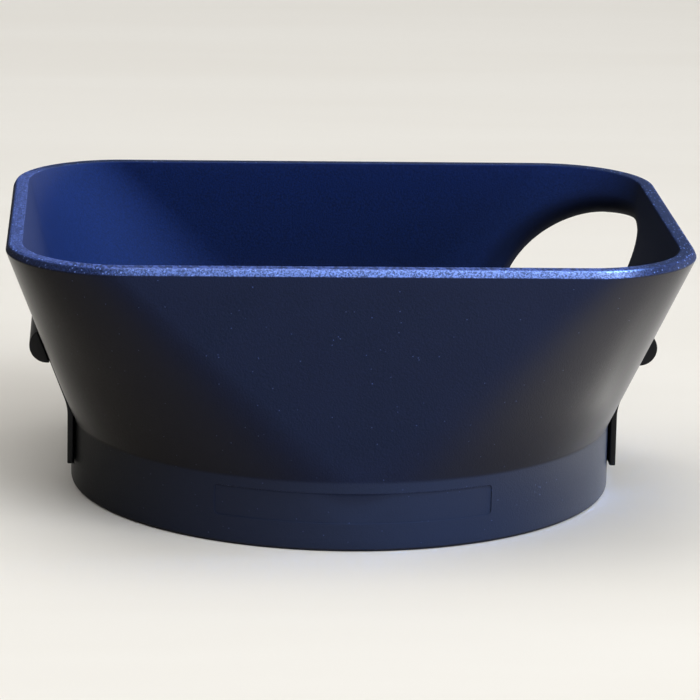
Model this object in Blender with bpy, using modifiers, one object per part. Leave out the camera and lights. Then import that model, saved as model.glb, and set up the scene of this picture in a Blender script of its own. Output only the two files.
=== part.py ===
"""Clip-on rectangular lens hood: a flared shell on a round ring, held by two sprung side levers.

The ring slides over a lens barrel from below. Each lever turns on a pin in the shell's side wall: its
claw reaches through a slot into the ring, and squeezing its grip bar draws the claw back out.
+Z points out of the hood's mouth, +X along its long side, and the origin is the centre of the ring's foot.
"""

import math

import bmesh
import bpy
from mathutils import Matrix, Vector

MM = 0.001

# Shell
RIM_WIDTH = 70.0 * MM
RIM_DEPTH = 55.0 * MM
RIM_CORNER = 12.0 * MM
RIM_WALL = 1.7 * MM
RIM_ROUND = 0.75 * MM
HOOD_HEIGHT = 28.6 * MM
RING_RADIUS = 28.5 * MM
RING_HEIGHT = 7.1 * MM
RING_WALL = 1.8 * MM
FLARE_WALL = 1.7 * MM
STOP_WIDTH = 1.7 * MM
SEAT_HEIGHT = 6.0 * MM
STOP_THICKNESS = 1.2 * MM
EDGE_BREAK = 0.25 * MM
ARC_STEPS = 16
ROUND_STEPS = 3

# Bare marking field, sunk into the front of the ring
FIELD_HALF_ANGLE = math.radians(29.3)
FIELD_LOW = 2.9 * MM
FIELD_HIGH = 6.0 * MM
FIELD_DEPTH = 0.15 * MM
FIELD_STEPS = 14

# Oval viewfinder window through the far right corner
WINDOW_LONG_RADIUS = 9.9 * MM
WINDOW_SHORT_RADIUS = 8.05 * MM
WINDOW_ROLL = math.radians(-38.0)
WINDOW_PLAN_ANGLE = math.radians(35.1)
WINDOW_OUTSET = 2.85 * MM
WINDOW_RISE = 9.95 * MM
WINDOW_AIM = math.radians(55.0)
WINDOW_DROP = math.radians(22.0)
WINDOW_STEPS = 48

# Release levers
LEVER_WIDTH = 12.0 * MM
LEVER_SHEET = 0.65 * MM
LEVER_STAND = 0.35 * MM
LEVER_SPREAD = math.radians(3.6)
LEVER_FOOT = 2.7 * MM
LEVER_TOP = 17.3 * MM
BEND_HEIGHT = 8.9 * MM
CLAW_REACH = 0.7 * MM
CLAW_WIDTH = 5.0 * MM
CLAW_HEIGHT = 0.9 * MM
CLAW_LEAD = 0.4 * MM
CLAW_RAISE = 0.15 * MM
EAR_INSET = 0.12 * MM
EAR_RADIUS = 0.9 * MM
EAR_THICKNESS = 0.7 * MM
EAR_STEPS = 12

# Grip bars and their rivets
GRIP_HEIGHT = 3.6 * MM
GRIP_RISE = 1.5 * MM
GRIP_CENTRE = 15.5 * MM
GRIP_STEPS = 14
RIVET_RADIUS = 0.5 * MM
RIVET_HEAD_RADIUS = 0.9 * MM
RIVET_HEAD_HEIGHT = 0.35 * MM
RIVET_BITE = 0.9 * MM
RIVET_SPACING = 7.0 * MM

# Pivots and springs
PIVOT_INSET = 1.2 * MM
PIVOT_HEIGHT = 8.6 * MM
PIN_RADIUS = 0.4 * MM
PIN_SEAT = 1.6 * MM
SPRING_WIRE = 0.3 * MM
SPRING_TURNS = 3
SPRING_PITCH = 0.75 * MM
SPRING_LEG = 5.0 * MM
SPRING_POINTS = 10
ROUND_SIDES = 20

# Clearances
RUNNING_GAP = 0.08 * MM
FACE_GAP = 0.05 * MM
REST_GAP = 0.3 * MM
COIL_GAP = 0.1 * MM

# Pocket behind each lever, and the boss that backs it inside the shell
POCKET_SPREAD = math.radians(4.6)
POCKET_HEADROOM = 1.1 * MM
POCKET_FOOT_GAP = 0.5 * MM
BOSS_WALL = 1.1 * MM
BOSS_BITE = 0.5 * MM
CUT_OVERRUN = 8.0 * MM

# Places worked out from the sizes above
BORE_RADIUS = RING_RADIUS - RING_WALL
STOP_RADIUS = BORE_RADIUS - STOP_WIDTH
FLARE_LEAN = math.atan((RIM_WIDTH / 2 - RING_RADIUS) / (HOOD_HEIGHT - RIM_ROUND - RING_HEIGHT))
LEVER_LEAN = FLARE_LEAN + LEVER_SPREAD
POCKET_LEAN = FLARE_LEAN + POCKET_SPREAD
PIVOT_X = RING_RADIUS - PIVOT_INSET
LEVER_OUTER_X = RING_RADIUS + LEVER_STAND
LEVER_INNER_X = LEVER_OUTER_X - LEVER_SHEET
RECESS_X = LEVER_INNER_X - REST_GAP
POCKET_X = PIVOT_X - EAR_RADIUS - REST_GAP
POCKET_HALF_WIDTH = LEVER_WIDTH / 2 + REST_GAP
POCKET_LOW = PIVOT_HEIGHT - EAR_RADIUS - REST_GAP
POCKET_HIGH = LEVER_TOP + POCKET_HEADROOM
POCKET_KNEE = PIVOT_HEIGHT + EAR_RADIUS
STOP_TOP = SEAT_HEIGHT + STOP_THICKNESS
COIL_RADIUS = PIN_RADIUS + COIL_GAP + SPRING_WIRE / 2
MERGE = 1e-6


def clear_scene():
    """Remove every object of the open scene."""
    for old in list(bpy.data.objects):
        bpy.data.objects.remove(old, do_unlink=True)


def new_collection(name):
    """A collection of that name under the scene."""
    collection = bpy.data.collections.new(name)
    bpy.context.scene.collection.children.link(collection)
    return collection


def new_material(name, colour, roughness, metallic):
    """A plain Principled material."""
    material = bpy.data.materials.new(name)
    material.use_nodes = True
    shader = material.node_tree.nodes["Principled BSDF"]
    shader.inputs["Base Color"].default_value = (*colour, 1.0)
    shader.inputs["Roughness"].default_value = roughness
    shader.inputs["Metallic"].default_value = metallic
    return material


def shade(mesh):
    """Smooth round faces and keep the corners sharp."""
    mesh.shade_smooth()
    mesh.set_sharp_from_angle(angle=math.radians(35))


def object_from_bmesh(name, shape, collection):
    """Weld a bmesh, point its faces outwards and link it as an object."""
    bmesh.ops.remove_doubles(shape, verts=shape.verts, dist=MERGE)
    bmesh.ops.dissolve_degenerate(shape, edges=shape.edges, dist=MERGE)
    bmesh.ops.recalc_face_normals(shape, faces=shape.faces)
    mesh = bpy.data.meshes.new(name)
    shape.to_mesh(mesh)
    shape.free()
    shade(mesh)
    piece = bpy.data.objects.new(name, mesh)
    collection.objects.link(piece)
    return piece


def mesh_of_curve(curve_object, collection):
    """Turn a curve object into a welded mesh object of the same name and remove the curve."""
    bpy.context.view_layer.update()
    graph = bpy.context.evaluated_depsgraph_get()
    mesh = bpy.data.meshes.new_from_object(curve_object.evaluated_get(graph))
    mesh.transform(curve_object.matrix_world)
    name = curve_object.name
    bpy.data.objects.remove(curve_object, do_unlink=True)
    shape = bmesh.new()
    shape.from_mesh(mesh)
    bpy.data.meshes.remove(mesh)
    return object_from_bmesh(name, shape, collection)


def prism(name, outline, thickness, placement, collection):
    """Extrude a flat outline to both sides of its plane, then place it."""
    curve = bpy.data.curves.new(name, "CURVE")
    curve.dimensions = "2D"
    curve.fill_mode = "BOTH"
    curve.extrude = thickness / 2
    spline = curve.splines.new("POLY")
    spline.points.add(len(outline) - 1)
    for point, (across, up) in zip(spline.points, outline):
        point.co = (across, up, 0.0, 1.0)
    spline.use_cyclic_u = True
    flat = bpy.data.objects.new(name, curve)
    collection.objects.link(flat)
    flat.matrix_world = placement
    return mesh_of_curve(flat, collection)


def side_prism(name, outline, y_centre, width, side, collection):
    """A prism across the hood: an outline in X and Z, mirrored to one side, with its width along Y."""
    mirrored = [(side * x, z) for x, z in outline]
    upright = Matrix.Translation((0.0, y_centre, 0.0)) @ Matrix.Rotation(math.pi / 2, 4, "X")
    return prism(name, mirrored, width, upright, collection)


def cylinder(name, radius, length, placement, collection, sides=ROUND_SIDES):
    """A solid cylinder along its own Z axis."""
    bpy.ops.mesh.primitive_cylinder_add(vertices=sides, radius=radius, depth=length)
    piece = bpy.context.object
    piece.name = name
    piece.data.name = name
    for home in list(piece.users_collection):
        home.objects.unlink(piece)
    collection.objects.link(piece)
    piece.matrix_world = placement
    shade(piece.data)
    return piece


def boolean(piece, cutter, operation):
    """Cut or join with a helper that stays hidden."""
    modifier = piece.modifiers.new(cutter.name, "BOOLEAN")
    modifier.operation = operation
    modifier.object = cutter
    modifier.solver = "EXACT"
    cutter.hide_render = True
    cutter.display_type = "WIRE"


def section(half_x, half_y, corner, z):
    """Points of a rounded rectangle at one height: four corner arcs, joined by straight sides."""
    points = []
    for quarter in range(4):
        centre_x = (half_x - corner) * (1 if quarter in (0, 3) else -1)
        centre_y = (half_y - corner) * (1 if quarter in (0, 1) else -1)
        for step in range(ARC_STEPS + 1):
            angle = (quarter + step / ARC_STEPS) * math.pi / 2
            points.append((centre_x + corner * math.cos(angle), centre_y + corner * math.sin(angle), z))
    return points


def circle(radius, z):
    """A round section, with points that pair with those of the rounded rectangle."""
    return section(radius, radius, radius, z)


def rim(inset, z):
    """The rim's outline, drawn in by an inset."""
    return section(RIM_WIDTH / 2 - inset, RIM_DEPTH / 2 - inset, RIM_CORNER - inset, z)


def shell_sections():
    """Sections of the shell's skin: up the outside, over the rim and down the inside."""
    sections = [
        circle(RING_RADIUS - EDGE_BREAK, 0.0),
        circle(RING_RADIUS, EDGE_BREAK),
        circle(RING_RADIUS, RING_HEIGHT),
    ]
    for step in range(ROUND_STEPS + 1):
        turn = step / ROUND_STEPS * math.pi / 2
        inset = RIM_ROUND * (1 - math.cos(turn))
        sections.append(rim(inset, HOOD_HEIGHT - RIM_ROUND + RIM_ROUND * math.sin(turn)))
    sections += [
        rim(RIM_WALL - EDGE_BREAK, HOOD_HEIGHT),
        rim(RIM_WALL, HOOD_HEIGHT - EDGE_BREAK),
        circle(RING_RADIUS - FLARE_WALL, STOP_TOP),
        circle(STOP_RADIUS, STOP_TOP),
        circle(STOP_RADIUS, SEAT_HEIGHT),
        circle(BORE_RADIUS, SEAT_HEIGHT),
        circle(BORE_RADIUS, EDGE_BREAK),
        circle(BORE_RADIUS + EDGE_BREAK, 0.0),
    ]
    return sections


def loft(name, sections, collection):
    """Skin between sections of equal point count, closed from the last one back to the first."""
    shape = bmesh.new()
    loops = [[shape.verts.new(point) for point in points] for points in sections]
    count = len(loops[0])
    for lower, upper in zip(loops, loops[1:] + loops[:1]):
        for k in range(count):
            following = (k + 1) % count
            shape.faces.new((lower[k], lower[following], upper[following], upper[k]))
    return object_from_bmesh(name, shape, collection)


def flare_x(z, radius):
    """Half width of the side wall's flat at a height, for the skin that starts at this ring radius."""
    share = (z - RING_HEIGHT) / (HOOD_HEIGHT - RIM_ROUND - RING_HEIGHT)
    return radius + share * (RIM_WIDTH / 2 - RING_RADIUS)


def pocket_floor_x(z):
    """The pocket's floor: upright behind the pivot, then leaning out with the wall."""
    return POCKET_X + max(0.0, z - POCKET_KNEE) * math.tan(POCKET_LEAN)


def pocket_outline():
    """Space behind a lever: a shallow seat on the ring, then a deeper pocket from the pivot upwards."""
    outside = RIM_WIDTH / 2 + CUT_OVERRUN
    return [
        (outside, LEVER_FOOT - POCKET_FOOT_GAP),
        (RECESS_X, LEVER_FOOT - POCKET_FOOT_GAP),
        (RECESS_X, POCKET_LOW),
        (POCKET_X, POCKET_LOW),
        (POCKET_X, POCKET_KNEE),
        (pocket_floor_x(POCKET_HIGH), POCKET_HIGH),
        (outside, POCKET_HIGH),
    ]


def boss_outline():
    """Thickening inside the shell that keeps a wall behind the pocket."""
    low = (SEAT_HEIGHT + STOP_TOP) / 2
    shoulder = POCKET_HIGH + BOSS_WALL
    inner_wall = RING_RADIUS - FLARE_WALL + BOSS_BITE
    top = shoulder + (flare_x(shoulder, inner_wall) - pocket_floor_x(POCKET_HIGH)) / 2
    return [
        (POCKET_X - BOSS_WALL, low),
        (flare_x(low, inner_wall), low),
        (flare_x(top, inner_wall), top),
        (pocket_floor_x(shoulder) - BOSS_WALL, shoulder),
        (POCKET_X - BOSS_WALL, POCKET_KNEE),
    ]


def field_outline():
    """Sector of the marking field, seen from above: a sunk floor and an edge outside the ring."""
    angles = [
        -math.pi / 2 - FIELD_HALF_ANGLE + 2 * FIELD_HALF_ANGLE * k / FIELD_STEPS
        for k in range(FIELD_STEPS + 1)
    ]
    floor = RING_RADIUS - FIELD_DEPTH
    edge = RING_RADIUS + CUT_OVERRUN / 4
    inner = [(floor * math.cos(a), floor * math.sin(a)) for a in angles]
    outer = [(edge * math.cos(a), edge * math.sin(a)) for a in reversed(angles)]
    return inner + outer


def window_outline():
    """The window's oval, seen along its axis."""
    turns = [2 * math.pi * step / WINDOW_STEPS for step in range(WINDOW_STEPS)]
    return [(WINDOW_LONG_RADIUS * math.cos(a), WINDOW_SHORT_RADIUS * math.sin(a)) for a in turns]


def window_placement():
    """The window's plane, with Z aimed out through the corner and downwards."""
    reach = RING_RADIUS + WINDOW_OUTSET
    centre = Vector((
        reach * math.cos(WINDOW_PLAN_ANGLE),
        reach * math.sin(WINDOW_PLAN_ANGLE),
        RING_HEIGHT + WINDOW_RISE,
    ))
    aim = Matrix.Rotation(WINDOW_AIM, 4, "Z") @ Matrix.Rotation(WINDOW_DROP, 4, "Y")
    face = Matrix(((0, 0, 1, 0), (1, 0, 0, 0), (0, 1, 0, 0), (0, 0, 0, 1)))
    return Matrix.Translation(centre) @ aim @ face @ Matrix.Rotation(WINDOW_ROLL, 4, "Z")


def lever_point(along, out):
    """A point of the lever's upper arm: a distance up from the bend, and out from its outer face."""
    x = LEVER_OUTER_X + along * math.sin(LEVER_LEAN) + out * math.cos(LEVER_LEAN)
    z = BEND_HEIGHT + along * math.cos(LEVER_LEAN) - out * math.sin(LEVER_LEAN)
    return x, z


def lever_outline():
    """Bent strip of the lever, seen along its hinge: foot, bend and leaning upper arm."""
    length = (LEVER_TOP - BEND_HEIGHT) / math.cos(LEVER_LEAN)
    inner_bend = BEND_HEIGHT + LEVER_SHEET * math.tan(LEVER_LEAN / 2)
    return [
        (LEVER_INNER_X, LEVER_FOOT),
        (LEVER_OUTER_X, LEVER_FOOT),
        (LEVER_OUTER_X, BEND_HEIGHT),
        lever_point(length, 0.0),
        lever_point(length, -LEVER_SHEET),
        (LEVER_INNER_X, inner_bend),
    ]


def claw_outline():
    """Hook at the lever's foot that reaches through the ring's slot into the bore."""
    tip = BORE_RADIUS - CLAW_REACH
    root = (LEVER_INNER_X + LEVER_OUTER_X) / 2
    low = LEVER_FOOT + CLAW_RAISE
    return [
        (root, low),
        (root, low + CLAW_HEIGHT),
        (tip, low + CLAW_HEIGHT),
        (tip, low + CLAW_LEAD),
        (tip + CLAW_LEAD, low),
    ]


def ear_outline():
    """Hinge ear: a round end about the pivot that runs out to the lever's strip."""
    root = (LEVER_INNER_X + LEVER_OUTER_X) / 2
    arc = [
        (
            PIVOT_X + EAR_RADIUS * math.cos(math.pi * (0.5 + step / EAR_STEPS)),
            PIVOT_HEIGHT + EAR_RADIUS * math.sin(math.pi * (0.5 + step / EAR_STEPS)),
        )
        for step in range(EAR_STEPS + 1)
    ]
    return arc + [(root, PIVOT_HEIGHT - EAR_RADIUS), (root, PIVOT_HEIGHT + EAR_RADIUS)]


def grip_outline():
    """Bow-backed grip bar: a chord on the lever's outer face and an arc over it."""
    centre = (GRIP_CENTRE - BEND_HEIGHT) / math.cos(LEVER_LEAN)
    half = GRIP_HEIGHT / 2
    radius = (half**2 + GRIP_RISE**2) / (2 * GRIP_RISE)
    reach = math.atan2(half, radius - GRIP_RISE)
    outline = []
    for step in range(GRIP_STEPS + 1):
        angle = -reach + 2 * reach * step / GRIP_STEPS
        rise = GRIP_RISE - radius * (1 - math.cos(angle)) + FACE_GAP
        outline.append(lever_point(centre + radius * math.sin(angle), rise))
    return outline


def on_grip(side, y, out):
    """Placement with Z along the grip's outward normal, at its middle height and a distance out."""
    centre = (GRIP_CENTRE - BEND_HEIGHT) / math.cos(LEVER_LEAN)
    x, z = lever_point(centre, out)
    normal = Vector((side * math.cos(LEVER_LEAN), 0.0, -math.sin(LEVER_LEAN)))
    return Matrix.Translation((side * x, y, z)) @ normal.to_track_quat("Z", "Y").to_matrix().to_4x4()


def pivot_placement(side, y_centre):
    """Placement with Z along the hinge axis of one side."""
    place = Matrix.Translation((side * PIVOT_X, y_centre, PIVOT_HEIGHT))
    return place @ Matrix.Rotation(math.pi / 2, 4, "X")


def make_shell(parts, cutters, material):
    """The moulded body: ring, flare and rim, with its bosses, pockets, slots, bores and window."""
    shell = loft("hood_shell", shell_sections(), parts)
    shell.data.materials.append(material)
    sides = (("right", 1), ("left", -1))
    for name, side in sides:
        boss_width = 2 * (POCKET_HALF_WIDTH + BOSS_WALL)
        boss = side_prism(f"boss_{name}", boss_outline(), 0.0, boss_width, side, cutters)
        boolean(shell, boss, "UNION")
    for name, side in sides:
        pocket = side_prism(f"pocket_{name}", pocket_outline(), 0.0, 2 * POCKET_HALF_WIDTH, side, cutters)
        boolean(shell, pocket, "DIFFERENCE")
        slot_low = LEVER_FOOT + CLAW_RAISE - REST_GAP
        slot_high = LEVER_FOOT + CLAW_RAISE + CLAW_HEIGHT + REST_GAP
        slot = [
            (BORE_RADIUS - CLAW_REACH, slot_low),
            (LEVER_INNER_X, slot_low),
            (LEVER_INNER_X, slot_high),
            (BORE_RADIUS - CLAW_REACH, slot_high),
        ]
        slot_width = CLAW_WIDTH + 2 * REST_GAP
        boolean(shell, side_prism(f"claw_slot_{name}", slot, 0.0, slot_width, side, cutters), "DIFFERENCE")
        bore_length = 2 * (POCKET_HALF_WIDTH + PIN_SEAT)
        bore = cylinder(
            f"pin_bore_{name}", PIN_RADIUS + FACE_GAP, bore_length, pivot_placement(side, 0.0), cutters
        )
        boolean(shell, bore, "DIFFERENCE")
    window_length = RIM_WIDTH - 2 * BORE_RADIUS + CUT_OVERRUN
    window = prism("viewfinder_window", window_outline(), window_length, window_placement(), cutters)
    boolean(shell, window, "DIFFERENCE")
    level = Matrix.Translation((0.0, 0.0, (FIELD_LOW + FIELD_HIGH) / 2))
    field = prism("marking_field", field_outline(), FIELD_HIGH - FIELD_LOW, level, cutters)
    boolean(shell, field, "DIFFERENCE")
    return shell


def make_lever(name, side, parts, cutters, material):
    """One bent sheet lever with its claw and two hinge ears, drilled for the pin and the rivets."""
    lever = side_prism(f"release_lever_{name}", lever_outline(), 0.0, LEVER_WIDTH, side, parts)
    lever.data.materials.append(material)
    claw = side_prism(f"claw_{name}", claw_outline(), 0.0, CLAW_WIDTH, side, cutters)
    boolean(lever, claw, "UNION")
    ear_y = (LEVER_WIDTH - EAR_THICKNESS) / 2 - EAR_INSET
    for end, sign in (("front", -1), ("rear", 1)):
        ear = side_prism(f"ear_{name}_{end}", ear_outline(), sign * ear_y, EAR_THICKNESS, side, cutters)
        boolean(lever, ear, "UNION")
    pin_hole = cylinder(
        f"pin_hole_{name}",
        PIN_RADIUS + RUNNING_GAP,
        LEVER_WIDTH + CUT_OVERRUN,
        pivot_placement(side, 0.0),
        cutters,
    )
    boolean(lever, pin_hole, "DIFFERENCE")
    return lever


def make_grip(name, side, lever, parts, cutters, material):
    """The grip bar, with its two rivets from behind: bar, then rivets front and rear."""
    grip = side_prism(f"grip_bar_{name}", grip_outline(), 0.0, LEVER_WIDTH, side, parts)
    grip.data.materials.append(material)
    made = [grip]
    shank = LEVER_SHEET + 2 * FACE_GAP + RIVET_BITE
    for end, sign in (("front", -1), ("rear", 1)):
        y = sign * RIVET_SPACING / 2
        hole_end = RIVET_BITE + 2 * FACE_GAP
        hole_start = -2 * LEVER_SHEET
        hole = cylinder(
            f"rivet_hole_{name}_{end}",
            RIVET_RADIUS + FACE_GAP,
            hole_end - hole_start,
            on_grip(side, y, (hole_start + hole_end) / 2),
            cutters,
        )
        boolean(lever, hole, "DIFFERENCE")
        boolean(grip, hole, "DIFFERENCE")
        made.append(make_rivet(f"grip_rivet_{name}_{end}", shank, on_grip(side, y, 0.0), parts))
    return made


def make_rivet(name, shank, placement, parts):
    """A flat-headed rivet, turned about its own Z, with its head behind the lever's sheet."""
    head_top = -LEVER_SHEET - FACE_GAP
    profile = [
        (0.0, head_top + shank),
        (RIVET_RADIUS, head_top + shank),
        (RIVET_RADIUS, head_top),
        (RIVET_HEAD_RADIUS, head_top),
        (RIVET_HEAD_RADIUS, head_top - RIVET_HEAD_HEIGHT),
        (0.0, head_top - RIVET_HEAD_HEIGHT),
    ]
    mesh = bpy.data.meshes.new(name)
    edges = [(k, k + 1) for k in range(len(profile) - 1)]
    mesh.from_pydata([(r, 0.0, z) for r, z in profile], edges, [])
    rivet = bpy.data.objects.new(name, mesh)
    parts.objects.link(rivet)
    turn = rivet.modifiers.new("turned", "SCREW")
    turn.axis = "Z"
    turn.steps = ROUND_SIDES
    turn.render_steps = ROUND_SIDES
    turn.use_merge_vertices = True
    turn.merge_threshold = MERGE
    rivet.matrix_world = placement
    return rivet


def make_pin(name, side, parts, material):
    """The hinge pin, seated at both ends in the pocket's side walls."""
    length = 2 * (POCKET_HALF_WIDTH + PIN_SEAT - FACE_GAP)
    pin = cylinder(f"pivot_pin_{name}", PIN_RADIUS, length, pivot_placement(side, 0.0), parts)
    pin.data.materials.append(material)
    return pin


def spring_path(side):
    """A torsion spring's wire: up-leg on the pocket floor, coil about the pin, up-leg on the lever."""
    span = SPRING_TURNS + 0.5
    leg_steps = 4
    path = []
    for step in range(leg_steps):
        up = SPRING_LEG * (1 - step / leg_steps)
        lean = max(0.0, PIVOT_HEIGHT + up - POCKET_KNEE) * math.tan(POCKET_LEAN)
        path.append((PIVOT_X - COIL_RADIUS + lean, -span * SPRING_PITCH / 2, PIVOT_HEIGHT + up))
    count = int(span * SPRING_POINTS)
    for step in range(count + 1):
        share = step / count
        angle = math.pi + share * span * 2 * math.pi
        y = (share - 0.5) * span * SPRING_PITCH
        path.append((PIVOT_X + COIL_RADIUS * math.cos(angle), y, PIVOT_HEIGHT + COIL_RADIUS * math.sin(angle)))
    for step in range(1, leg_steps + 1):
        up = SPRING_LEG * step / leg_steps
        lean = max(0.0, PIVOT_HEIGHT + up - BEND_HEIGHT) * math.tan(LEVER_LEAN)
        path.append((PIVOT_X + COIL_RADIUS + lean, span * SPRING_PITCH / 2, PIVOT_HEIGHT + up))
    return [Vector((side * x, y, z)) for x, y, z in path]


def least_gap(path, wire):
    """Least clear distance between stretches of a wire that are over half a turn apart."""
    apart = SPRING_POINTS // 2 + 1
    return min(
        (first - second).length - wire
        for k, first in enumerate(path)
        for second in path[k + apart:]
    )


def make_spring(name, side, parts, material):
    """The torsion spring that holds the lever's claw in the bore."""
    path = spring_path(side)
    curve = bpy.data.curves.new(f"return_spring_{name}", "CURVE")
    curve.dimensions = "3D"
    curve.bevel_depth = SPRING_WIRE / 2
    curve.bevel_resolution = 1
    curve.use_fill_caps = True
    spline = curve.splines.new("POLY")
    spline.points.add(len(path) - 1)
    for point, place in zip(spline.points, path):
        point.co = (*place, 1.0)
    curve.materials.append(material)
    spring = bpy.data.objects.new(f"return_spring_{name}", curve)
    parts.objects.link(spring)
    print(f"{spring.name}: least gap {least_gap(path, SPRING_WIRE) / MM:.2f} mm")
    return spring


def hang_on_axis(pieces, name, side, parts):
    """Parent a lever's pieces to an empty on its hinge axis, leaving them where they are."""
    axis = bpy.data.objects.new(f"lever_axis_{name}", None)
    axis.location = (side * PIVOT_X, 0.0, PIVOT_HEIGHT)
    parts.objects.link(axis)
    bpy.context.view_layer.update()
    for piece in pieces:
        piece.parent = axis
        piece.matrix_parent_inverse = axis.matrix_world.inverted()


def main():
    """Build the hood, then each side's lever, grip, rivets, pin and spring."""
    clear_scene()
    parts = new_collection("lens_hood")
    cutters = new_collection("cutters")
    shell_black = new_material("moulded_black", (0.018, 0.018, 0.022), 0.5, 0.0)
    lever_black = new_material("blackened_steel", (0.012, 0.012, 0.015), 0.35, 0.6)
    rivet_black = new_material("blackened_rivet", (0.02, 0.02, 0.022), 0.4, 0.6)
    bright_steel = new_material("bright_steel", (0.55, 0.55, 0.57), 0.3, 1.0)
    make_shell(parts, cutters, shell_black)
    for name, side in (("right", 1), ("left", -1)):
        lever = make_lever(name, side, parts, cutters, lever_black)
        grip_pieces = make_grip(name, side, lever, parts, cutters, lever_black)
        for rivet in grip_pieces[1:]:
            rivet.data.materials.append(rivet_black)
        hang_on_axis([lever, *grip_pieces], name, side, parts)
        make_pin(name, side, parts, bright_steel)
        make_spring(name, side, parts, bright_steel)


main()
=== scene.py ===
"""Looks of a clip-on lens hood: a moulded shell with two sprung release levers.

Each sub-assembly is a class that holds its sizes in metres, builds its meshes in the part's own
frame and dresses them with its finish. +Z points out of the hood's mouth, +X along its long side.
"""

from __future__ import annotations

import logging
import math
from collections.abc import Callable, Mapping, Sequence
from dataclasses import dataclass
from enum import Enum
from typing import Any

import bmesh
import bpy
from mathutils import Matrix, Vector
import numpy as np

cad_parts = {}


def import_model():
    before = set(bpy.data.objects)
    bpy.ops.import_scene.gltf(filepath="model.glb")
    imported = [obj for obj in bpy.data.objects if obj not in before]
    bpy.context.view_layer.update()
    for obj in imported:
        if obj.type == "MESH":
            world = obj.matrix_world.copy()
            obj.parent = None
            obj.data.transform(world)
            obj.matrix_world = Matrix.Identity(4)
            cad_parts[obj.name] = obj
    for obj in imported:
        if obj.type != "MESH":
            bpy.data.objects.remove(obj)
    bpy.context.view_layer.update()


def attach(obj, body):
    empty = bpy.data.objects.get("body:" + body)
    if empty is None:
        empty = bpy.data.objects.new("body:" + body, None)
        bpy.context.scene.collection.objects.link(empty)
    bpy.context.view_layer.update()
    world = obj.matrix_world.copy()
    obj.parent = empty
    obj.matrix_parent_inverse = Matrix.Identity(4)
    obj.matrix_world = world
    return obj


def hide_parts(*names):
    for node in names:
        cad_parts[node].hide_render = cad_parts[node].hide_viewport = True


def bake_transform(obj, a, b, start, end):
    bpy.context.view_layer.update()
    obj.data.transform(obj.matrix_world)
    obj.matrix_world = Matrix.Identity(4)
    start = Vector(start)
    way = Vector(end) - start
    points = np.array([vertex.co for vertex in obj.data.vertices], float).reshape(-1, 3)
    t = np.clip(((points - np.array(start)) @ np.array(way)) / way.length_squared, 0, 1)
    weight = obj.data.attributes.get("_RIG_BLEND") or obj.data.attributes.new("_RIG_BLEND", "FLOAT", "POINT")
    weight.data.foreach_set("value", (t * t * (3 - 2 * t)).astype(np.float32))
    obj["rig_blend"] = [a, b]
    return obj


MM = 0.001
MERGE = 1e-7
BEND_LIMIT = 0.48
SHARP_DEGREES = 32.0
ROUND_SIDES = 32
PHOTO_PIXELS = 700
log = logging.getLogger("lens_hood")

Colour = tuple[float, float, float]
Place = tuple[float, float, float]
Point2 = tuple[float, float]
Span = tuple[float, float]


class Side(Enum):
    """The two ends of the hood's long axis, by the sign of their X."""

    RIGHT = 1
    LEFT = -1

    @property
    def label(self) -> str:
        """The side's name as the nodes spell it."""
        return self.name.lower()

    @property
    def body(self) -> str:
        """The moving body on this side."""
        return f"lever_{self.label}"


class Cut(Enum):
    """What a helper shape does to a piece."""

    JOIN = "UNION"
    REMOVE = "DIFFERENCE"


@dataclass(frozen=True)
class Noise:
    """A noise: feature size, octaves, what each finer octave keeps, and its scale by axis."""

    grain: float
    detail: float
    roughness: float
    stretch: Place | None = None


@dataclass(frozen=True)
class Scatter:
    """Round specks: cell size, radius in a cell, share of cells with one, and strength."""

    spacing: float
    radius: float
    share: float
    strength: float


@dataclass(frozen=True)
class Softening:
    """Rounded edges: width, segments, and the angle in degrees over which an edge is rounded."""

    width: float
    segments: int
    degrees: float


class Field:
    """A value carried by a node's output, with arithmetic that adds Math nodes to its tree."""

    def __init__(self, graph: Graph, socket: bpy.types.NodeSocket) -> None:
        """Wrap one output socket of a graph."""
        self.graph = graph
        self.socket = socket

    def _math(self, operation: str, first: Field | float, second: Field | float = 0.0) -> Field:
        """Add one Math node and return its output."""
        return self.graph.out("ShaderNodeMath", {"operation": operation}, {0: first, 1: second})

    def __add__(self, other: Field | float) -> Field:
        """Sum."""
        return self._math("ADD", self, other)

    __radd__ = __add__

    def __mul__(self, other: Field | float) -> Field:
        """Product."""
        return self._math("MULTIPLY", self, other)

    __rmul__ = __mul__

    def __sub__(self, other: Field | float) -> Field:
        """Difference."""
        return self._math("SUBTRACT", self, other)

    def __rsub__(self, other: float) -> Field:
        """Difference from a number."""
        return self._math("SUBTRACT", other, self)

    def __pow__(self, other: float) -> Field:
        """Power."""
        return self._math("POWER", self, other)

    def sine(self) -> Field:
        """Sine of an angle in radians."""
        return self._math("SINE", self)

    def cosine(self) -> Field:
        """Cosine of an angle in radians."""
        return self._math("COSINE", self)

    def below(self, level: float) -> Field:
        """One where the value is under a level, and zero elsewhere."""
        return self._math("LESS_THAN", self, level)

    def lifted(self, least: float) -> Field:
        """A share pressed into the range from a least value to one."""
        return self * (1.0 - least) + least

    def faded(self, part: float) -> Field:
        """One where a share is zero, and one less a part where it is full."""
        return 1.0 - self * part

    def swing(self, width: float) -> Field:
        """How far the value lies from one half, times a width."""
        return (self - 0.5) * width

    def mixed(self, other: Field, part: float) -> Field:
        """This value for a part, and another one for the rest."""
        return self * part + other * (1.0 - part)

    def ramp(self, low: float, high: float) -> Field:
        """Smooth rise from zero at low to one at high.

        Args:
            low: Value where the rise starts.
            high: Value where it ends, which may lie under low for a fall.

        Returns:
            The eased share between zero and one.
        """
        settings = {"interpolation_type": "SMOOTHSTEP", "clamp": True}
        inputs = {0: self, 1: low, 2: high, 3: 0.0, 4: 1.0}
        return self.graph.out("ShaderNodeMapRange", settings, inputs)


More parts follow.
